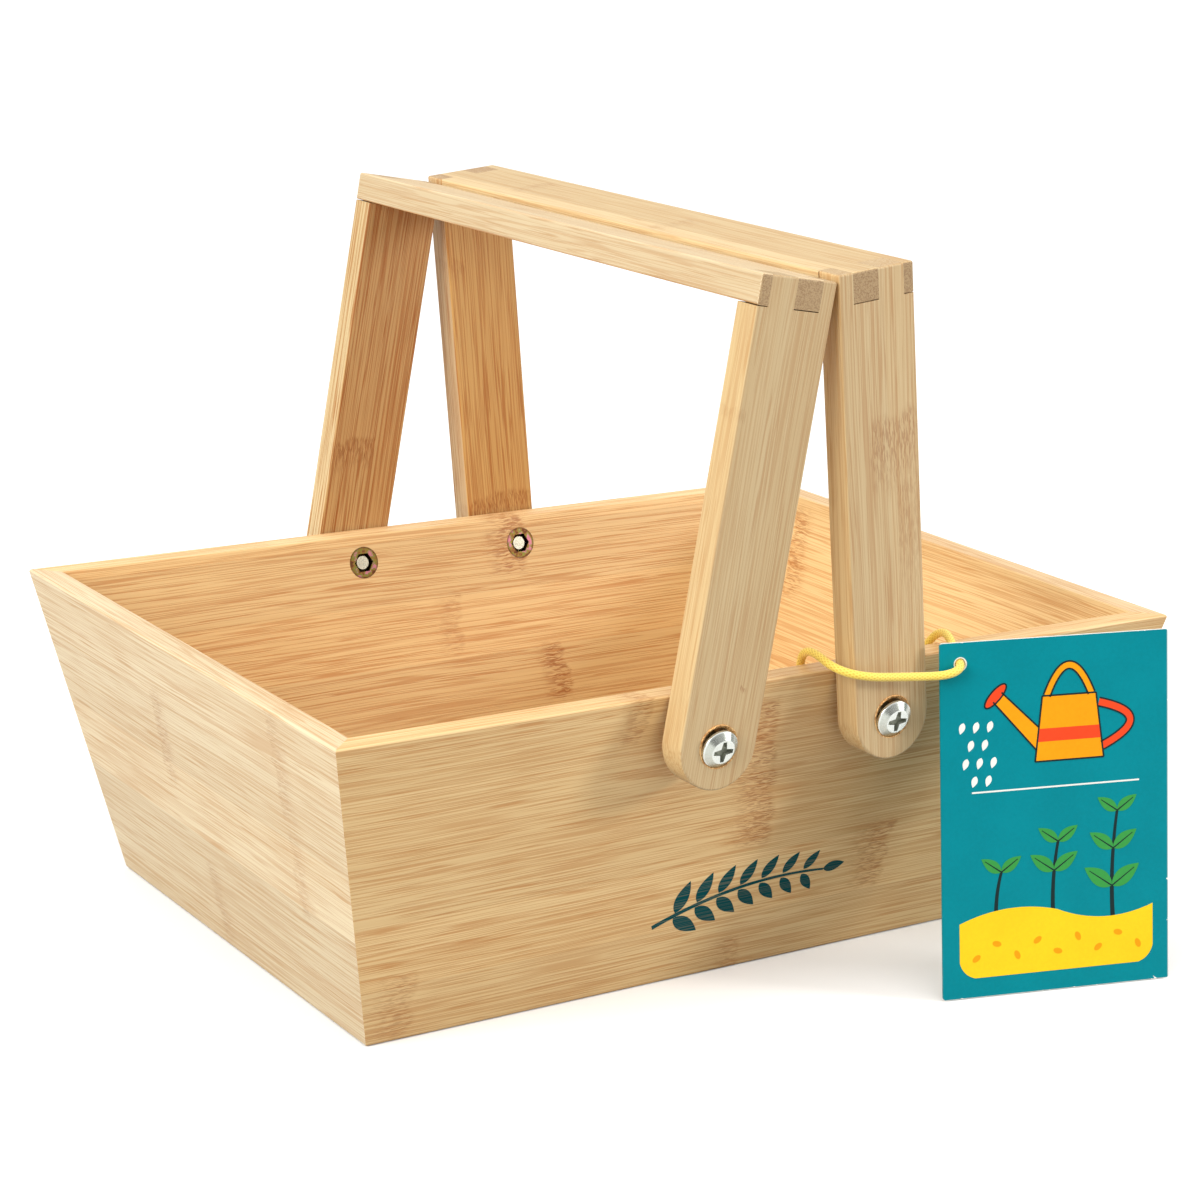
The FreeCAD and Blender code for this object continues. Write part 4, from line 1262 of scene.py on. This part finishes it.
def plaited_mesh(name, lines, diameter, sides):
    """A mesh of plaited tubes, one along each line of points."""
    work = bmesh.new()
    layer = work.loops.layers.uv.new("cover")
    for points in lines:
        plaited_tube(work, layer, points, diameter, bpy.context.scene.trug_cord.pitch, sides)
    return finished_mesh(work, name)


def knot_wraps():
    """Where the cord winds round itself in the knot and leaves upwards, from the knot's middle."""
    turns, steps_per_turn = 2, 8
    reach, half_length = 1.95, 2.1
    steps = turns * steps_per_turn
    spots = [(-3.2, 0.0, 0.0)]
    for index in range(steps + 1):
        angle = math.tau * index / steps_per_turn
        along = half_length * (2 * index / steps - 1)
        spots.append((along, reach * math.sin(angle), reach * math.cos(angle)))
    return [*spots, (2.6, -0.4, 3.6), (3.4, 0.6, 7.4)]


def knot_line(name, spots, resolution):
    """The smooth line that spots give, in millimetres from the knot's middle."""
    route = [KNOT_MIDDLE + Vector(spot) * MM for spot in spots]
    return spline_points(name, route, resolution)


class TrugTagCord(bpy.types.Operator):
    """Ties the tag on with a plaited cord, across the right front leg and over the rim to its knot"""

    bl_idname = "trug.tag_cord"
    bl_label = "Tag Cord"

    def execute(self, context):
        look = context.scene.trug_cord
        material = cord_material()
        points = spline_points("tag_cord_line", CORD_ROUTE, 44)
        mesh = plaited_mesh("plaited_cord", [points], look.diameter, 48)
        cord = new_piece("plaited_cord", mesh, material, "tray")
        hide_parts("tag_cord")
        wraps = knot_line("wraps_line", knot_wraps(), 10)
        tail = knot_line("tail_line", KNOT_TAIL, 12)
        mesh = plaited_mesh("cord_knot_wraps", [wraps, tail], KNOT_CORD, 32)
        knot = new_piece("cord_knot_wraps", mesh, material, "tray")
        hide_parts("cord_knot")
        return {"FINISHED"}


# The floor's radius and how far it lies below the tray, in metres.
FLOOR_RADIUS = 9.0
FLOOR_DROP = 0.2 * MM

# Each light's name, place, the point that it faces and the length of its side, in metres.
KEY_LIGHT = ("key_light", (-1.7, -0.45, 0.95), (0.0, 0.0, 0.08), 1.1)
SIDE_LIGHT = ("side_light", (1.15, -1.0, 0.58), (0.0, -0.1, 0.05), 0.3)

# The camera's place in metres, its turn to the right of straight back, its tilt down and its roll.
CAMERA_PLACE = Vector((-0.50597, -0.79518, 0.35149))
CAMERA_YAW = math.radians(32.63)
CAMERA_PITCH = math.radians(15.10)
CAMERA_ROLL = math.radians(1.43)


def soft_light(name, place, target, side, power):
    """A square soft light that faces a point."""
    lamp = bpy.data.lights.new(name, "AREA")
    lamp.shape = "SQUARE"
    lamp.size = side
    lamp.energy = power
    light = bpy.data.objects.new(name, lamp)
    light.location = place
    light.rotation_euler = (Vector(target) - Vector(place)).to_track_quat("-Z", "Y").to_euler()
    bpy.context.scene.collection.objects.link(light)


def floor_material():
    """A pale, faintly cloudy floor that sends less light back up than it shows."""
    look = bpy.context.scene.trug_stage
    made, tree, shader = new_material("pale_floor")
    place = put_node(tree, "ShaderNodeTexCoord").outputs["Object"]
    cloud = noise(tree, place, (3.0, 3.0, 3.0), 2.0, 0.5)
    pale = shaded(tree, look.floor, step(tree, cloud, 0.3, 0.7, 0.985, 1.0))
    paths = put_node(tree, "ShaderNodeLightPath").outputs
    seen = maths(tree, "MAXIMUM", paths["Is Camera Ray"], paths["Is Glossy Ray"])
    tone = blend(tree, seen, look.bounce, pale)
    fill(tree, shader, {"Base Color": tone, "Roughness": 0.8, "Specular IOR Level": 0.1})
    return made


def lay_floor(scene):
    """Lays a round floor just below the tray."""
    work = bmesh.new()
    bmesh.ops.create_circle(work, cap_ends=True, segments=96, radius=FLOOR_RADIUS)
    mesh = finished_mesh(work, "studio_floor")
    mesh.materials.append(floor_material())
    floor = bpy.data.objects.new("studio_floor", mesh)
    floor.location.z = -FLOOR_DROP
    scene.collection.objects.link(floor)


def light_studio(scene):
    """Sets an even light that grows stronger overhead, and two soft lights."""
    look = scene.trug_stage
    world = bpy.data.worlds.new("studio_light")
    world.use_nodes = True
    sky = world.node_tree
    way = put_node(sky, "ShaderNodeTexCoord").outputs["Generated"]
    rise = parts_of(sky, way)[2]
    strength = step(sky, rise, -0.2, 1.0, look.horizon, look.zenith)
    seen = put_node(sky, "ShaderNodeLightPath").outputs["Is Camera Ray"]
    strength = maths(sky, "MAXIMUM", strength, seen)
    fill(sky, sky.nodes["Background"], {"Color": (1, 1, 1, 1), "Strength": strength})
    scene.world = world
    soft_light(*KEY_LIGHT, look.key)
    soft_light(*SIDE_LIGHT, look.side)


def place_camera(scene):
    """Places the camera that sees the basket as the photo does."""
    level = math.cos(CAMERA_PITCH)
    drop = math.sin(CAMERA_PITCH)
    ahead = Vector((math.sin(CAMERA_YAW) * level, math.cos(CAMERA_YAW) * level, -drop))
    right = Vector((math.cos(CAMERA_YAW), -math.sin(CAMERA_YAW), 0.0))
    up = right.cross(ahead)
    cos, sin = math.cos(CAMERA_ROLL), math.sin(CAMERA_ROLL)
    right, up = right * cos + up * sin, up * cos - right * sin
    lens = bpy.data.cameras.new("photo_camera")
    lens.sensor_fit = "HORIZONTAL"
    lens.sensor_width = 36.0
    lens.lens = scene.trug_stage.lens
    lens.clip_end = 50.0
    camera = bpy.data.objects.new("photo_camera", lens)
    turn = Matrix((right, up, -ahead)).transposed().to_4x4()
    camera.matrix_world = Matrix.Translation(CAMERA_PLACE) @ turn
    scene.collection.objects.link(camera)
    scene.camera = camera


class TrugStudio(bpy.types.Operator):
    """Sets the pale floor, the soft light and the camera"""

    bl_idname = "trug.studio"
    bl_label = "Floor, Light and Camera"

    def execute(self, context):
        scene = context.scene
        lay_floor(scene)
        light_studio(scene)
        place_camera(scene)
        scene.view_settings.view_transform = "Standard"
        return {"FINISHED"}


STEPS = (
    TrugTrayBoards,
    TrugHandles,
    TrugHardware,
    TrugWallSprig,
    TrugHangTag,
    TrugTagCord,
    TrugStudio,
)

SETTINGS = {
    "trug_bamboo": TrugBamboo,
    "trug_metal": TrugMetal,
    "trug_tag": TrugTag,
    "trug_cord": TrugCord,
    "trug_stage": TrugStage,
}


class TrugPanel(bpy.types.Panel):
    """Lists the steps that dress the basket"""

    bl_idname = "VIEW3D_PT_trug_garden_basket"
    bl_label = "Trug Garden Basket"
    bl_space_type = "VIEW_3D"
    bl_region_type = "UI"
    bl_category = "Trug"

    def draw(self, context):
        for operator in STEPS:
            self.layout.operator(operator.bl_idname)
        for name in SETTINGS:
            box = self.layout.box()
            look = getattr(context.scene, name)
            for key in look.__annotations__:
                box.prop(look, key)


def register():
    """Registers the settings, the steps and the panel."""
    for name, group in SETTINGS.items():
        bpy.utils.register_class(group)
        setattr(bpy.types.Scene, name, bpy.props.PointerProperty(type=group))
    for made in (*STEPS, TrugPanel):
        bpy.utils.register_class(made)


def unregister():
    """Takes the panel, the steps and the settings away again."""
    for made in (TrugPanel, *reversed(STEPS)):
        bpy.utils.unregister_class(made)
    for name, group in reversed(SETTINGS.items()):
        delattr(bpy.types.Scene, name)
        bpy.utils.unregister_class(group)


def main():
    """Runs every step in order."""
    register()
    bpy.ops.trug.tray_boards()
    bpy.ops.trug.handles()
    bpy.ops.trug.hardware()
    bpy.ops.trug.wall_sprig()
    bpy.ops.trug.hang_tag()
    bpy.ops.trug.tag_cord()
    bpy.ops.trug.studio()


if __name__ == "__main__":
    main()
